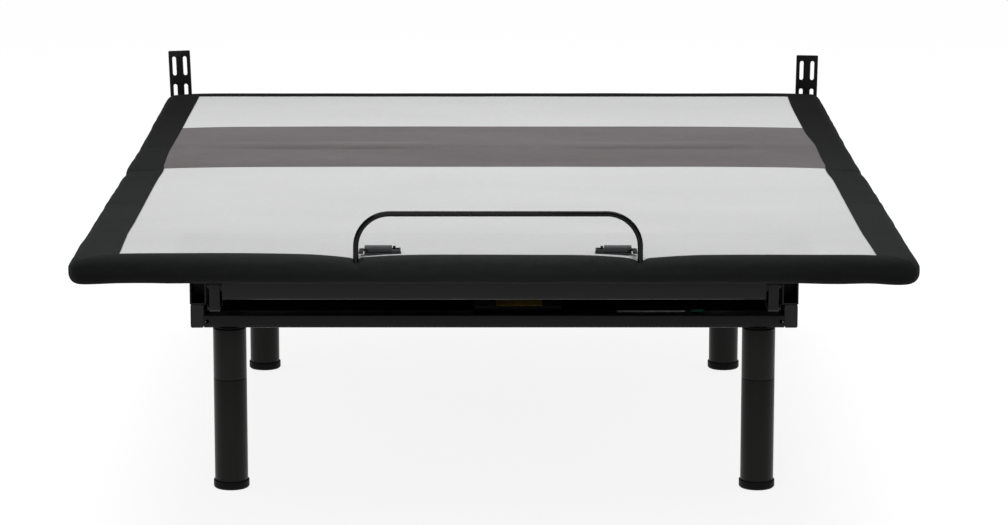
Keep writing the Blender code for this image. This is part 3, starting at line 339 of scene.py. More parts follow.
def cover_material():
    """Light non-woven top, grey spacer-mesh strip and black mesh border, laid out on the flat cloth."""
    graph = CoverGraph()
    inside = light_outline(graph)
    on_top = graph.ramp(inside, -0.0003, 0.0003)
    seam = graph.line(inside, 0.0004, 0.0018)
    strip_inside = strip_outline(graph)
    on_strip = graph.ramp(strip_inside, -0.0003, 0.0003)
    strip_seam = graph.line(strip_inside, 0.0003, 0.0016)

    beside = graph.math("SUBTRACT", graph.across, LIGHT_HALF)
    behind = graph.math("SUBTRACT", graph.v, LIGHT_FRONT + MITRE_OFFSET)
    mitre = graph.total(graph.product(beside, 0.40), graph.product(behind, 0.916))
    on_front = graph.ramp(mitre, -0.0004, 0.0004, 1.0, 0.0)
    mitre_seam = graph.product(graph.line(mitre, 0.0004, 0.0014), graph.ramp(beside, -0.002, 0.0))

    emboss = graph.dots(0.0024)
    spacer = graph.dots(0.0036)
    mesh = graph.dots(0.0031)
    fibres = graph.drawn_noise(60.0, 420.0, 0.6)
    light = light_fabric(graph, fibres, graph.math("MAXIMUM", seam, strip_seam))
    strip = strip_fabric(graph, spacer, strip_seam)
    border = border_fabric(graph, mesh, seam, mitre_seam, on_front, beside)

    light_height = graph.total(graph.product(emboss, 0.10), graph.product(fibres, 0.15))
    top_height = graph.total(graph.product(graph.math("SUBTRACT", 1.0, on_strip), light_height),
                             graph.product(on_strip, spacer, 0.55), graph.product(strip_seam, -0.8))
    border_height = graph.total(graph.product(mesh, 0.55), graph.product(mitre_seam, -0.9))
    height = graph.total(graph.product(on_top, top_height), graph.product(seam, -1.0),
                         graph.product(graph.math("SUBTRACT", 1.0, on_top), border_height))
    colour = graph.mix(on_top, border, graph.mix(on_strip, light, strip))
    return graph.finish(colour, graph.ramp(on_top, 0.0, 1.0, 0.85, 0.95), height, 0.0008,
                        {"Specular IOR Level": 0.10, "Sheen Weight": 0.02, "Sheen Roughness": 0.4})


def coated(name, colour, roughness, grain=900.0, depth=0.00008, gloss_level=0.12):
    """Powder coat or moulded plastic: fine grain, cloudy gloss, and edges made lighter by a painted
    highlight along with slight rubbing.
    """
    graph = Graph(name)
    place = graph.add("TexCoord").outputs["Object"]
    peel = graph.noise(place, grain, 2.0)
    cloud = graph.noise(place, 14.0, 4.0, 0.6)
    # lighter edges: a painted highlight along every sharp edge, together with slight rubbing; the edges are
    # also a little glossier
    painted_edge_highlight_and_wear = graph.ramp(graph.add("NewGeometry").outputs["Pointiness"], 0.52, 0.60)
    tone = graph.total(graph.ramp(cloud, 0.3, 0.7, 0.92, 1.08), graph.product(painted_edge_highlight_and_wear, 1.8),
                       graph.ramp(peel, 0.3, 0.7, -0.04, 0.04))
    gloss = graph.total(graph.ramp(cloud, 0.3, 0.7, roughness - 0.05, roughness + 0.05),
                        graph.product(painted_edge_highlight_and_wear, -0.08))
    return graph.finish(graph.shade(colour, tone), gloss, peel, depth, {"Specular IOR Level": gloss_level})


def bare_metal(name, colour, roughness, lines):
    """Plated or drawn steel with fine lines along one way."""
    graph = Graph(name)
    place = graph.add("TexCoord").outputs["Object"]
    drawn = graph.noise(graph.stretch(place, lines), 1.0, 3.0)
    cloud = graph.noise(place, 30.0, 3.0)
    tone = graph.total(graph.ramp(cloud, 0.3, 0.7, 0.9, 1.06), graph.ramp(drawn, 0.3, 0.7, -0.06, 0.06))
    gloss = graph.ramp(drawn, 0.2, 0.8, roughness - 0.08, roughness + 0.10)
    return graph.finish(graph.shade(colour, tone), gloss, drawn, 0.00004, {"Metallic": 1.0})


def plywood_material():
    """Rotary-cut face grain, plies where an edge shows, and a black backing cloth underneath."""
    graph = Graph("plywood")
    place = graph.add("TexCoord").outputs["Object"]
    grain = graph.noise(graph.stretch(place, (90.0, 5.0, 5.0)), 1.0, 5.0, 0.6)
    figure = graph.noise(graph.stretch(place, (14.0, 1.5, 1.0)), 1.0, 3.0, 0.7)
    height = graph.add("SeparateXYZ", {0: place}).outputs[2]
    plies = graph.math("SINE", graph.math("MULTIPLY", height, 2 * math.pi / 0.0052))
    normal = graph.add("NewGeometry").outputs["Normal"]
    upright = graph.math("ABSOLUTE", graph.add("SeparateXYZ", {0: normal}).outputs[2])
    edge = graph.ramp(upright, 0.4, 0.8, 1.0, 0.0)
    tone = graph.total(graph.ramp(grain, 0.3, 0.7, 0.82, 1.08), graph.ramp(figure, 0.3, 0.7, -0.08, 0.06),
                       graph.product(edge, graph.ramp(plies, -0.4, 0.4, -0.35, 0.0)))
    wood = graph.shade((0.50, 0.35, 0.20), tone)
    across, along = graph.add("SeparateXYZ", {0: place}).outputs[:2]
    felt = graph.noise(place, 320.0, 3.0, 0.7)
    backing = graph.shade((0.0095, 0.0095, 0.0095), graph.ramp(felt, 0.3, 0.7, 0.8, 1.2))
    facing = graph.add("SeparateXYZ", {0: graph.add("TexCoord").outputs["Normal"]}).outputs[2]
    underside = graph.ramp(facing, -0.9, -0.8, 1.0, 0.0)
    weave = graph.product(underside, woven_dots(graph, across, along, 0.0030))
    return graph.finish(graph.mix(underside, wood, backing), 0.80, graph.total(grain, weave), 0.0003,
                        {"Specular IOR Level": 0.12})


def dust_cover_material():
    """Thin black spunbond sheet."""
    graph = Graph("dust_cover_fabric")
    place = graph.add("TexCoord").outputs["Object"]
    u, v = graph.add("SeparateXYZ", {0: place}).outputs[:2]
    emboss = woven_dots(graph, u, v, 0.0030)
    fibres = graph.noise(place, 350.0, 3.0, 0.7)
    tone = graph.total(graph.ramp(emboss, 0.0, 1.0, 0.8, 1.1), graph.ramp(fibres, 0.3, 0.7, -0.15, 0.15))
    return graph.finish(graph.shade((0.010, 0.010, 0.010), tone), 0.92, graph.total(emboss, fibres), 0.0002,
                        {"Specular IOR Level": 0.08})


FRAME_COAT = coated("satin_powder_coat", (0.0074, 0.0074, 0.0073), 0.42)
PLATE_COAT = coated("plate_powder_coat", (0.0050, 0.0050, 0.0050), 0.40, gloss_level=0.10)
LEG_COAT = coated("leg_powder_coat", (0.0052, 0.0050, 0.0046), 0.36, gloss_level=0.13)
GLIDE_PLASTIC = coated("glide_plastic", (0.0035, 0.0035, 0.0035), 0.50, 1600.0, 0.00010, 0.08)
BAR_COAT = coated("bar_powder_coat", (0.0008, 0.0008, 0.0008), 0.08, depth=0.00001, gloss_level=0.17)
LATCH_COAT = coated("latch_grey", (0.0230, 0.0250, 0.0260), 0.36, gloss_level=0.25)
BOLT_COAT = coated("latch_bolt_black", (0.0045, 0.0045, 0.0045), 0.35, gloss_level=0.15)
BOX_PLASTIC = coated("control_box_plastic", (0.0060, 0.0060, 0.0060), 0.50, 1600.0, 0.00012)
PLASTIC = coated("moulded_plastic", (0.0160, 0.0160, 0.0160), 0.50, 1600.0, 0.00012)
MOTOR_PLASTIC = coated("motor_plastic", (0.0220, 0.0220, 0.0230), 0.45, 1200.0, 0.00015)
RUBBER = coated("rubber", (0.0120, 0.0120, 0.0120), 0.75, 700.0, 0.00010)
ZINC = bare_metal("zinc_steel", (0.52, 0.52, 0.50), 0.36, (30.0, 300.0, 300.0))
BRIGHT_STEEL = bare_metal("bright_rod", (0.58, 0.59, 0.60), 0.22, (600.0, 20.0, 600.0))
PLYWOOD = plywood_material()
DUST_CLOTH = dust_cover_material()
COVER = cover_material()

# the first prefix that a node's name starts with gives its material, otherwise it is FRAME_COAT
LOOKS = (
    ("headboard_", PLATE_COAT), ("leg_glide", GLIDE_PLASTIC), ("leg_", LEG_COAT),
    ("rail_cap", PLASTIC), ("deck_bumper", RUBBER), ("dust_cover", DUST_CLOTH),
    ("control_box", BOX_PLASTIC), ("head_axle", ZINC), ("thigh_axle", ZINC), ("knee_axle", ZINC),
    ("retainer_bar", BAR_COAT), ("latch_bolt", BOLT_COAT), ("latch_plate", LATCH_COAT),
    ("head_actuator", MOTOR_PLASTIC), ("foot_actuator", MOTOR_PLASTIC), ("head_push_rod", BRIGHT_STEEL),
    ("foot_push_rod", BRIGHT_STEEL), ("head_motor_lead", RUBBER), ("foot_motor_lead", RUBBER),
    ("head_panel", PLYWOOD), ("seat_panel", PLYWOOD), ("thigh_panel", PLYWOOD), ("foot_panel", PLYWOOD),
)


# ---- mesh tools ------------------------------------------------------------------------------
def new_piece(name, shape, material):
    """An object in the scene with this mesh or curve and one material."""
    piece = bpy.data.objects.new(name, shape)
    bpy.context.scene.collection.objects.link(piece)
    piece.data.materials.append(material)
    return piece


def from_bmesh(name, bm, material):
    """A smooth-shaded piece from a bmesh, which is freed."""
    bmesh.ops.recalc_face_normals(bm, faces=bm.faces[:])
    mesh = bpy.data.meshes.new(name)
    bm.to_mesh(mesh)
    bm.free()
    mesh.polygons.foreach_set("use_smooth", [True] * len(mesh.polygons))
    return new_piece(name, mesh, material)


def apply_modifiers(piece):
    bpy.context.view_layer.objects.active = piece
    piece.select_set(True)
    for modifier in list(piece.modifiers):
        bpy.ops.object.modifier_apply(modifier=modifier.name)
    piece.select_set(False)


def arc(centre, radius, start, end, steps):
    """Points of a round stretch, from one angle in degrees to another."""
    angles = [math.radians(start + (end - start) * i / steps) for i in range(steps + 1)]
    return [(centre[0] + radius * math.cos(a), centre[1] + radius * math.sin(a)) for a in angles]


def smooth_step(value, start, end):
    share = min(1.0, max(0.0, (value - start) / (end - start)))
    return share * share * (3 - 2 * share)


def hill(value, centre, width):
    return math.exp(-((value - centre) / width) ** 2)


# ---- cover: one shell ------------------------------------------------------------------------
def spaced(start, end, creases, reach):
    """Places from start to end, closer together round each crease."""
    places = [start]
    while places[-1] < end - FINE:
        near = min(abs(places[-1] - crease) for crease in creases)
        step = FINE + (CELL - FINE) * smooth_step(near, reach * 0.4, reach * 1.6)
        places.append(places[-1] + step)
    stretch = (end - start) / (places[-1] - start)
    return [start + (place - start) * stretch for place in places]


def row_places():
    """Rows of the shell, with one on every cut."""
    stops = [DECK_FRONT + ROLL, *CUTS, DECK_BACK - ROLL]
    creases = (BAR_Y, KNEE_HINGE, THIGH_CREASE, HEAD_HINGE)
    rows = []
    for start, end in zip(stops, stops[1:]):
        rows += spaced(start, end, creases, 0.03)[:-1]
    return rows + [stops[-1]]


def side_profile():
    """(outward, height, cloth length, normal) from the shell's inner outline round to the foam."""
    points = [(ROLL * math.sin(math.radians(a)), DECK_TOP - ROLL + ROLL * math.cos(math.radians(a)))
              for a in range(0, 91, 15)]
    centre = (ROLL - BOTTOM_ROLL, LIP_LEVEL + BOTTOM_ROLL)
    points += [(centre[0] + BOTTOM_ROLL * math.sin(math.radians(a)),
                centre[1] + BOTTOM_ROLL * math.cos(math.radians(a))) for a in range(90, 181, 18)]
    inner_level = LIP_LEVEL + LIP_THICKNESS
    points += [(LIP_OUT, LIP_LEVEL), (LIP_BACK, LIP_LEVEL), (LIP_BACK, inner_level), (LIP_OUT, inner_level),
               (PANEL_EDGE - PANEL_CHAMFER, inner_level), (PANEL_EDGE, inner_level + PANEL_CHAMFER),
               (PANEL_EDGE, PANEL_TOP + PANEL_GAP)]
    profile = []
    length = 0.0
    for before, point in zip(points, points[1:]):
        step = math.dist(before, point)
        length += step
        normal = ((before[1] - point[1]) / step, (point[0] - before[0]) / step)
        profile.append((*point, length, normal))
    return profile


class Shell:
    """Vertices with their place on the cloth, reach and normal, and the faces between them."""

    def __init__(self):
        self.places = []
        self.cloth = []
        self.lengths = []
        self.reaches = []
        self.normals = []
        self.faces = []
        self.under = set()            # numbers of the faces on the foam's underside

    def vertex(self, place, cloth, length=0.0, reach=0.0, normal=(0, 0, 1)):
        self.places.append(Vector(place))
        self.cloth.append(cloth)
        self.lengths.append(length)
        self.reaches.append(reach)
        self.normals.append(Vector(normal))
        return len(self.places) - 1

    def sheet(self, lines):
        """Quads between lines of vertices."""
        for first, second in zip(lines, lines[1:]):
            pairs = list(zip(first, second))
            for (a, b), (c, d) in zip(pairs, pairs[1:]):
                self.faces.append(tuple(dict.fromkeys((a, b, d, c))))

    def under_face(self, corners):
        self.under.add(len(self.faces))
        self.faces.append(tuple(corners))


def build_shell():
    """Closed shell of the whole cover: flat top, rolled sides, lip under the plywood, foam's underside."""
    shell = Shell()
    profile = side_profile()
    half = DECK_HALF - ROLL
    rows = row_places()
    columns = spaced(-half, half, (*BAR_FEET, -half, half), 0.02)
    top = [[shell.vertex((x, y, DECK_TOP), (x, y)) for x in columns] for y in rows]
    shell.sheet(top)
    centre = (rows[0] + rows[-1]) / 2
    half_length = (rows[-1] - rows[0]) / 2

    def edge_line(start, x, y, across, along):
        """Line of vertices from one point of the top's edge, out along a level direction."""
        line = [start]
        for out, z, length, normal in profile:
            if length > LIP_START and out > 0:
                out -= SIDE_FOAM * abs(across)
            inward = max(0.0, -out)
            reach = max(0.0, out)
            end_x = half - inward
            end_y = half_length - inward
            level = (min(max(x, -end_x), end_x) + reach * across,
                     centre + min(max(y - centre, -end_y), end_y) + reach * along)
            line.append(shell.vertex((*level, z), (x + length * across, y + length * along), length,
                                     reach, (normal[0] * across, normal[0] * along, normal[1])))
        return line

    sides = {}
    ends = {}
    for side, column in ((-1, 0), (1, -1)):
        sides[side] = [edge_line(top[row][column], side * half, y, side, 0) for row, y in enumerate(rows)]
        shell.sheet(sides[side])
    for way, row in ((-1, 0), (1, -1)):
        ends[way] = [edge_line(top[row][column], x, rows[row], 0, way) for column, x in enumerate(columns)]
        shell.sheet(ends[way])
    for way, row in ((-1, 0), (1, -1)):
        floor_edge = [line[-1] for line in ends[way]]
        for side, column in ((-1, 0), (1, -1)):
            turns = [math.pi / 2 * step / CORNER_STEPS for step in range(1, CORNER_STEPS)]
            fan = [edge_line(top[row][column], side * half, rows[row], side * math.cos(turn),
                             way * math.sin(turn)) for turn in turns]
            shell.sheet([sides[side][row], *fan, ends[way][column]])
            edge = [sides[side][row][-1]] + [line[-1] for line in fan]
            floor_edge = edge + floor_edge if side < 0 else floor_edge + edge[::-1]
        shell.under_face(floor_edge)
    for first, second, third, fourth in zip(sides[-1], sides[-1][1:], sides[1][1:], sides[1]):
        shell.under_face((first[-1], second[-1], third[-1], fourth[-1]))
    return shell


def shape_cloth(shell):
    """Move the plain shell's vertices to the used cover's shape."""
    for index, (u, v) in enumerate(shell.cloth):
        place = shell.places[index]
        length = shell.lengths[index]
        if length > LIP_START:
            continue
        round_corner(place, shell.reaches[index])
        place.x -= math.copysign(draw_in(place) * smooth_step(abs(place.x), 0.690, 0.750), place.x)
        if length <= ROLL_END:
            place += shell.normals[index] * relief(u, v)
        place.z -= sink(place, length)


def round_corner(place, reach):
    """Bring a point of a corner back to the cover's larger plan radius."""
    centre_y = (DECK_FRONT + DECK_BACK) / 2
    beside = abs(place.x) - (DECK_HALF - CORNER)
    beyond = abs(place.y - centre_y) - ((DECK_BACK - DECK_FRONT) / 2 - CORNER)
    limit = CORNER - ROLL + reach
    if beside <= 0 or beyond <= 0 or math.hypot(beside, beyond) <= limit:
        return
    share = limit / math.hypot(beside, beyond)
    place.x -= math.copysign(beside * (1 - share), place.x)
    place.y -= math.copysign(beyond * (1 - share), place.y - centre_y)


def draw_in(place):
    """How far the stretched cover pulls the deck's side in, most where the deck folds."""
    inset = 0.0050 + 0.0054 * hill(place.y, 0.15, 0.60) - 0.0040 * hill(place.y, DECK_FRONT, 0.060)
    if place.x < 0:
        inset -= 0.0021 * hill(place.y, 0.01, 0.055) + 0.0029 * hill(place.y, -0.87, 0.085)
    inset += 0.0032 * hill(place.y, THIGH_CREASE, 0.040) + 0.0006 * hill(place.y, HEAD_HINGE + 0.07, 0.06)
    return inset + math.copysign(0.0014, place.x) * smooth_step(place.y, -0.10, 0.05)


def relief(u, v):
    """How far the cloth stands off its plain shape: creases over the hinges and ripples."""
    border = smooth_step(abs(u), 0.660, 0.740)
    height = 0.0
    for crease, depth in ((THIGH_CREASE, 0.0050), (HEAD_HINGE, 0.0012), (KNEE_HINGE, 0.0010)):
        height -= border * depth * (0.6 * hill(v, crease, 0.006) + 0.4 * hill(v, crease, 0.025))
    height += border * 0.0011 * noise.noise(Vector((u * 5, v * 22, 3.0)))
    height += 0.0005 * noise.noise(Vector((u * 6, v * 14, 0.0)))
    ridge = smooth_step(abs(u), 0.10, 0.30) * (1 - smooth_step(abs(u), 0.50, 0.66))
    height += ridge * (0.0020 * hill(v, HEAD_HINGE + 0.020, 0.016)
                       - 0.0022 * hill(v, HEAD_HINGE - 0.012, 0.014))
    return height


def sink(place, length):
    """How far the cloth is pulled or sags down: round the bar's feet, at the corners and below."""
    depth = 0.0
    in_front = 1.0 if place.y < BAR_Y else hill(place.y, BAR_Y, 0.009)
    on_top = 1 - smooth_step(length, 0.020, 0.036)
    near_end = 1 - smooth_step(place.y, DECK_FRONT + 0.03, DECK_FRONT + 0.11)
    for foot in BAR_FEET:
        depth += on_top * 0.0095 * hill(place.x, foot, 0.0070) * in_front
        depth += on_top * 0.0030 * hill(place.x, foot, 0.050) * near_end
    beside = smooth_step(abs(place.x), DECK_HALF - 0.11, DECK_HALF - 0.03)
    outer = smooth_step(abs(place.x), DECK_HALF - 0.045, DECK_HALF - 0.005)
    at_corner = 1 - smooth_step(place.y, DECK_FRONT + 0.01, DECK_FRONT + 0.06)
    depth += on_top * (0.0020 * beside * near_end + 0.0045 * outer * at_corner)
    at_back = smooth_step(place.y, DECK_BACK - 0.055, DECK_BACK - 0.015)
    at_left = smooth_step(-place.x, DECK_HALF - 0.075, DECK_HALF - 0.005)
    depth += on_top * at_back * (0.0014 + 0.0042 * at_left)
    lower = smooth_step(length, 0.030, 0.055)
    if place.y < DECK_FRONT + ROLL:
        sag = 0.0022 * hill(abs(place.x), DECK_HALF - 0.042, 0.032)
        sag += 0.0016 * hill(place.x, DECK_HALF - 0.040, 0.025)
        sag += 0.0018 * hill(place.x, 0.600, 0.040)
        sag += max(0.0, 0.0006 * math.sin(place.x * 31.0) + 0.0003 * math.sin(place.x * 73.0))
        depth += lower * sag
    return depth


def cloth_mesh(shell):
    """The shell as a mesh, with its place on the cloth as a UV map in metres."""
    bm = bmesh.new()
    layer = bm.loops.layers.uv.new("fabric")
    along_cloth = bm.verts.layers.float.new("cloth_length")
    verts = [bm.verts.new(place) for place in shell.places]
    for vert, length in zip(verts, shell.lengths):
        vert[along_cloth] = length
    cloth = dict(zip(verts, shell.cloth))
    for number, indices in enumerate(shell.faces):
        face = bm.faces.new([verts[i] for i in indices])
        for loop in face.loops:
            loop[layer].uv = loop.vert.co.xy if number in shell.under else cloth[loop.vert]
    bmesh.ops.remove_doubles(bm, verts=bm.verts[:], dist=1e-6)
    bmesh.ops.dissolve_degenerate(bm, edges=bm.edges[:], dist=1e-7)
    return bm


def held(place, length):
    """How firmly a point is held in the simulation: hardly on the rolled border, fully elsewhere."""
    if length > 0:
        share = smooth_step(length, 0.044, ROLL_END)
    else:
        inside = min(DECK_HALF - ROLL - abs(place.x), place.y - DECK_FRONT - ROLL,
                     DECK_BACK - ROLL - place.y)
        share = smooth_step(inside, 0.0, 0.055)
    for crease in (THIGH_CREASE, HEAD_HINGE, KNEE_HINGE):
        share += hill(place.y, crease, 0.012)
    for foot in BAR_FEET:
        share += hill(place.x, foot, 0.030) * hill(place.y, BAR_Y, 0.040)
    return min(1.0, 0.05 + share)


def swell(cover):
    """Cloth simulation under light pressure, which fills the border between its creases."""
    lengths = [item.value for item in cover.data.attributes["cloth_length"].data]
    group = cover.vertex_groups.new(name="held")
    for vert, length in zip(cover.data.vertices, lengths):
        group.add([vert.index], held(vert.co, length), "REPLACE")
    start = [vert.co.copy() for vert in cover.data.vertices]
    simulation = cover.modifiers.new("Swell", "CLOTH")
    simulation.settings.vertex_group_mass = group.name
    simulation.settings.use_pressure = True
    simulation.settings.uniform_pressure_force = SWELL_PRESSURE
    simulation.settings.effector_weights.gravity = 0.0
    simulation.point_cache.frame_start = 1
    simulation.point_cache.frame_end = SWELL_FRAMES
    for number in range(1, SWELL_FRAMES + 1):
        bpy.context.scene.frame_set(number)
    result = cover.evaluated_get(bpy.context.evaluated_depsgraph_get()).data
    moves = [after.co - before for after, before in zip(result.vertices, start)]
    cover.modifiers.remove(simulation)
    for vert, before, move in zip(cover.data.vertices, start, moves):
        vert.co = before + move * min(1.0, SWELL / max(move.length, 1e-9))
    bpy.context.scene.frame_set(1)


def cover_part(whole, name, start, end):
    """The length of the shell between two cuts, closed by a wall at each cut."""
    bm = whole.copy()
    layer = bm.loops.layers.uv.active
    outside = []
    for face in bm.faces:
        along = sum(loop[layer].uv.y for loop in face.loops) / len(face.loops)
        if not start < along < end:
            outside.append(face)
    bmesh.ops.delete(bm, geom=outside, context="FACES")
    rim = [edge for edge in bm.edges if edge.is_boundary]
    walls = bmesh.ops.holes_fill(bm, edges=rim, sides=0)["faces"]
    walls = bmesh.ops.triangulate(bm, faces=walls)["faces"]
    for face in bm.faces:
        face.smooth = True
    for edge in rim:
        if edge.is_valid:
            edge.smooth = False
    for face in walls:
        face.smooth = False
        for loop in face.loops:
            loop[layer].uv = loop.vert.co.xy
    mesh = bpy.data.meshes.new(name)
    bm.to_mesh(mesh)
    bm.free()
    return new_piece(name, mesh, COVER)


def cover():
    """The whole cover, filled out, then cut into four lengths, of which the head length rides with the head
    section.
    """
    shell = build_shell()
    shape_cloth(shell)
    whole = from_bmesh("cover", cloth_mesh(shell), COVER)
    swell(whole)
    whole.modifiers.new("Smooth", "SUBSURF").levels = 1
    whole.modifiers["Smooth"].render_levels = 1
    apply_modifiers(whole)
    bm = bmesh.new()
    bm.from_mesh(whole.data)
    bpy.data.objects.remove(whole)
    cuts = (-10.0, *CUTS, 10.0)
    parts = []
    for name, start, end in zip(("foot", "thigh", "seat", "head"), cuts, cuts[1:]):
        piece = cover_part(bm, name + "_cover", start, end)
        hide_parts(name + "_pad")
        parts.append(piece)
    bm.free()
    foot, thigh, seat, head = parts
    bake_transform(foot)
    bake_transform(thigh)
    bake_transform(seat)
    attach(head, "head_section")


# ---- round steel and small pieces --------------------------------------------------------------
def lathe(name, profile, x, y, material):
    """Closed solid of revolution. The profile runs from axis to axis as (radius, height)."""
    bm = bmesh.new()
    steps = 72
    turns = [2 * math.pi * i / steps for i in range(steps)]
    rings = []
    for radius, z in profile:
        if radius == 0:
            rings.append([bm.verts.new((x, y, z))] * steps)
        else:
            rings.append([bm.verts.new((x + radius * math.cos(turn), y + radius * math.sin(turn), z))
                          for turn in turns])
    for lower, upper in zip(rings, rings[1:]):
        for i in range(steps):
            k = (i + 1) % steps
            corners = list(dict.fromkeys((lower[i], lower[k], upper[k], upper[i])))
            if len(corners) > 2:
                bm.faces.new(corners)
    piece = from_bmesh(name, bm, material)
    sharp_corners(piece)
    return piece


def sharp_corners(piece, angle=32.0):
    """Smooth shading that stops at every corner sharper than the angle."""
    bm = bmesh.new()
    bm.from_mesh(piece.data)
    for edge in bm.edges:
        edge.smooth = edge.is_manifold and edge.calc_face_angle(0) < math.radians(angle)
    bm.to_mesh(piece.data)
    bm.free()


def rounded_profile(points, radius):
    """A profile with each corner between its two ends turned into a small arc of four points."""
    result = [points[0]]
    for before, corner, after in zip(points, points[1:], points[2:]):
        corner = Vector(corner)
        back = (Vector(before) - corner)
        ahead = (Vector(after) - corner)
        reach = min(radius, back.length * 0.45, ahead.length * 0.45)
        start = corner + back.normalized() * reach
        end = corner + ahead.normalized() * reach
        for t in (0.0, 0.33, 0.67, 1.0):
            point = start.lerp(corner, t).lerp(corner.lerp(end, t), t)
            result.append((max(0.0, point.x), point.y))
    return result + [points[-1]]


def leg(end, side):
    """Glide, lower tube and upper tube of one leg, as the CAD has them but round."""
    name = f"{end}_{side}"
    low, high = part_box("leg_lower_" + name)
    upper_low, upper_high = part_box("leg_upper_" + name)
    glide_low, glide_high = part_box("leg_glide_" + name)
    x = (low.x + high.x) / 2
    y = (low.y + high.y) / 2
    radius = (high.x - low.x) / 2
    glide_radius = (glide_high.x - glide_low.x) / 2
    neck_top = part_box("side_rail_" + side)[0].z - LEG_GAP
    neck_bottom = neck_top - NECK_HEIGHT
    joint = upper_low.z - LEG_GAP
    seat = low.z - LEG_GAP
    recess = upper_low.z + TUBE_RECESS
    glide = [(0, glide_low.z), (glide_radius - GLIDE_CHAMFER, glide_low.z), (glide_radius, GLIDE_CHAMFER),
             (glide_radius, glide_high.z), (radius + LEG_GAP, glide_high.z), (radius + LEG_GAP, seat),
             (0, seat)]
    lower = [(0, low.z), (radius, low.z), (radius, joint), (STUD_RADIUS, joint),
             (STUD_RADIUS, high.z), (0, high.z)]
    upper = [(0, recess), (radius - TUBE_WALL, recess), (radius - TUBE_WALL, upper_low.z),
             (radius, upper_low.z), (radius, neck_bottom), (NECK_RADIUS, neck_bottom),
             (NECK_RADIUS, neck_top), (STUD_RADIUS, neck_top), (STUD_RADIUS, upper_high.z),
             (0, upper_high.z)]
    for part, profile, material, finish in (("leg_glide_", glide, GLIDE_PLASTIC, "glide_plastic"),
                                            ("leg_lower_", lower, LEG_COAT, "leg_tube"),
                                            ("leg_upper_", upper, LEG_COAT, "leg_tube")):
        piece = lathe("round_" + part + name, rounded_profile(profile, LEG_EDGE), x, y, material)
        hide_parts(part + name)
        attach(piece, "base")


def retainer_bar():
    """Round bar bent to a wide arch, swept finely."""
    left, right = BAR_FEET
    bend_level = BAR_HIGH.z - BAR_RADIUS - BAR_BEND
    points = [(left, BAR_LOW.z)] + arc((left + BAR_BEND, bend_level), BAR_BEND, 180, 90, 24)
    points += arc((right - BAR_BEND, bend_level), BAR_BEND, 90, 0, 24) + [(right, BAR_LOW.z)]
    curve = bpy.data.curves.new("retainer_round_bar", "CURVE")
    curve.dimensions = "3D"
    line = curve.splines.new("POLY")
    line.points.add(len(points) - 1)
    for point, (x, z) in zip(line.points, points):
        point.co = (x, BAR_Y, z, 1)
    curve.bevel_depth = BAR_RADIUS
    curve.bevel_resolution = 6
    curve.use_fill_caps = True
    line.use_smooth = True
    piece = new_piece("retainer_round_bar", curve, BAR_COAT)
    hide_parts("retainer_bar")
    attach(piece, "retainer")


def slab(name, low, high, bevel, material):
    """Thin bevelled piece between two corners."""
    bm = bmesh.new()
    bmesh.ops.create_cube(bm, size=1.0)
    low = Vector(low)
    high = Vector(high)
    for vert in bm.verts:
        vert.co = (low + high) / 2 + vert.co * (high - low)
    bmesh.ops.bevel(bm, geom=bm.edges[:], offset=bevel, segments=3, profile=0.5, affect="EDGES")
    piece = from_bmesh(name, bm, material)
    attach(piece, "base")
    return piece


def small_pieces():
    """Blank label and a connector on the front cross tube, and a tag on the control box."""
    tube_low, tube_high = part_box("front_cross_tube")
    box_low, box_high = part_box("control_box")
    label = coated("label_paper", (0.80, 0.80, 0.80), 0.6, 1200.0, 0.00003, 0.5)
    tag = coated("amber_tag", (0.22, 0.135, 0.022), 0.5, 800.0, 0.00005)
    green = coated("green_connector", (0.014, 0.095, 0.062), 0.4, 800.0, 0.00005)
    slab("rating_label", (0.235, tube_low.y + 0.028, tube_high.z + 0.0001),
         (0.365, tube_low.y + 0.040, tube_high.z + 0.0005), 0.00015, label)
    slab("control_tag", (0.004, box_low.y + 0.004, box_high.z + 0.0002),
         (0.092, box_high.y - 0.010, box_high.z + 0.0009), 0.0003, tag)
    slab("ground_connector", (0.375, tube_low.y + 0.024, tube_high.z + 0.0002),
         (0.400, tube_low.y + 0.036, tube_high.z + 0.0040), 0.0012, green)


# ---- CAD parts that keep their shape -----------------------------------------------------------
def finish_cad():
    """Give every CAD part that still shows its material, welded corners and a small edge radius."""
    for name, node in NODES.items():
        look = next((material for prefix, material in LOOKS if name.startswith(prefix)), FRAME_COAT)
        node.data.materials.clear()
        node.data.materials.append(look)
        if node.hide_render:
            continue
        if "custom_normal" in node.data.attributes:
            node.data.attributes.remove(node.data.attributes["custom_normal"])
        node.data.polygons.foreach_set("use_smooth", [True] * len(node.data.polygons))
        node.modifiers.new("Weld", "WELD").merge_threshold = WELD_DISTANCE
        bevel = node.modifiers.new("Edge", "BEVEL")
        bevel.width = CAD_EDGE
        bevel.segments = 2
        bevel.limit_method = "ANGLE"
        bevel.angle_limit = math.radians(40)
        node.modifiers.new("Normals", "WEIGHTED_NORMAL").keep_sharp = False


# ---- camera, floor and light -------------------------------------------------------------------
def stage():
    """Pale floor, bright enough of itself to read as the photograph's white ground."""
    bm = bmesh.new()
    bmesh.ops.create_grid(bm, x_segments=2, y_segments=2, size=30.0)
    graph = Graph("studio_floor")
    place = graph.add("TexCoord").outputs["Object"]
    tone = graph.ramp(graph.noise(place, 0.6, 2.0), 0.3, 0.7, 0.99, 1.01)
    material = graph.finish(graph.shade((0.25, 0.25, 0.25), tone), 0.6, uniform={
        "Specular IOR Level": 0.1, "Emission Color": (1, 1, 1, 1), "Emission Strength": 0.87})
    floor = from_bmesh("floor", bm, material)
    floor.location.z = -0.0002


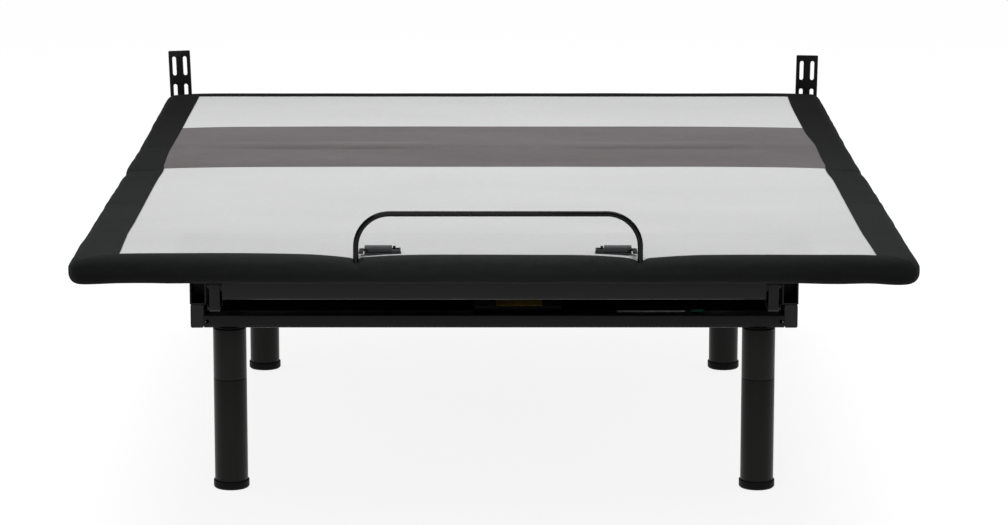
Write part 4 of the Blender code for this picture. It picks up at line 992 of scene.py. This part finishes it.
def area_light(name, place, target, size, energy):
    """Rectangular softbox at a place, turned towards a target."""
    light = bpy.data.lights.new(name, "AREA")
    light.shape = "RECTANGLE"
    light.size, light.size_y = size
    light.energy = energy
    lamp = bpy.data.objects.new(name, light)
    lamp.location = place
    lamp.rotation_euler = (Vector(target) - Vector(place)).to_track_quat("-Z", "Y").to_euler()
    bpy.context.scene.collection.objects.link(lamp)


def lights():
    """White room that brightens with height, a large softbox overhead and a weak one in front."""
    world = bpy.data.worlds.new("studio")
    world.use_nodes = True
    tree = world.node_tree
    background = tree.nodes["Background"]
    place = tree.nodes.new("ShaderNodeTexCoord")
    height = tree.nodes.new("ShaderNodeSeparateXYZ")
    sky = tree.nodes.new("ShaderNodeMapRange")
    tree.links.new(place.outputs["Generated"], height.inputs[0])
    tree.links.new(height.outputs[2], sky.inputs["Value"])
    for socket, value in (("From Min", 0.0), ("From Max", 0.9), ("To Min", 0.12), ("To Max", 0.50)):
        sky.inputs[socket].default_value = value
    tree.links.new(sky.outputs[0], background.inputs["Strength"])
    background.inputs["Color"].default_value = (1, 1, 1, 1)
    bpy.context.scene.world = world
    area_light("top_softbox", (0, 0.2, 3.6), (0, 0, 0.4), (4.0, 3.0), 108)
    area_light("front_softbox", (-0.6, -5.2, 2.2), (0, -0.4, 0.4), (1.6, 1.0), 25)


def camera():
    """The photograph's view, from in front of the foot end and a little above the deck.

    Its lens and place were fitted to the deck's corners, the rails' ends and the legs' joints.
    """
    data = bpy.data.cameras.new("camera")
    data.lens = 130.98
    data.shift_x = 0.0098
    data.clip_end = 100.0
    seen_by = bpy.data.objects.new("camera", data)
    seen_by.location = (0, -7.429, 1.771)
    seen_by.rotation_euler = (math.radians(78.997), 0, 0)
    bpy.context.scene.collection.objects.link(seen_by)
    bpy.context.scene.camera = seen_by


def build():
    bpy.context.scene.view_settings.view_transform = "Standard"
    camera()
    stage()
    lights()
    cover()
    for end in ("front", "back"):
        for side in ("left", "right"):
            leg(end, side)
    retainer_bar()
    small_pieces()
    finish_cad()


build()
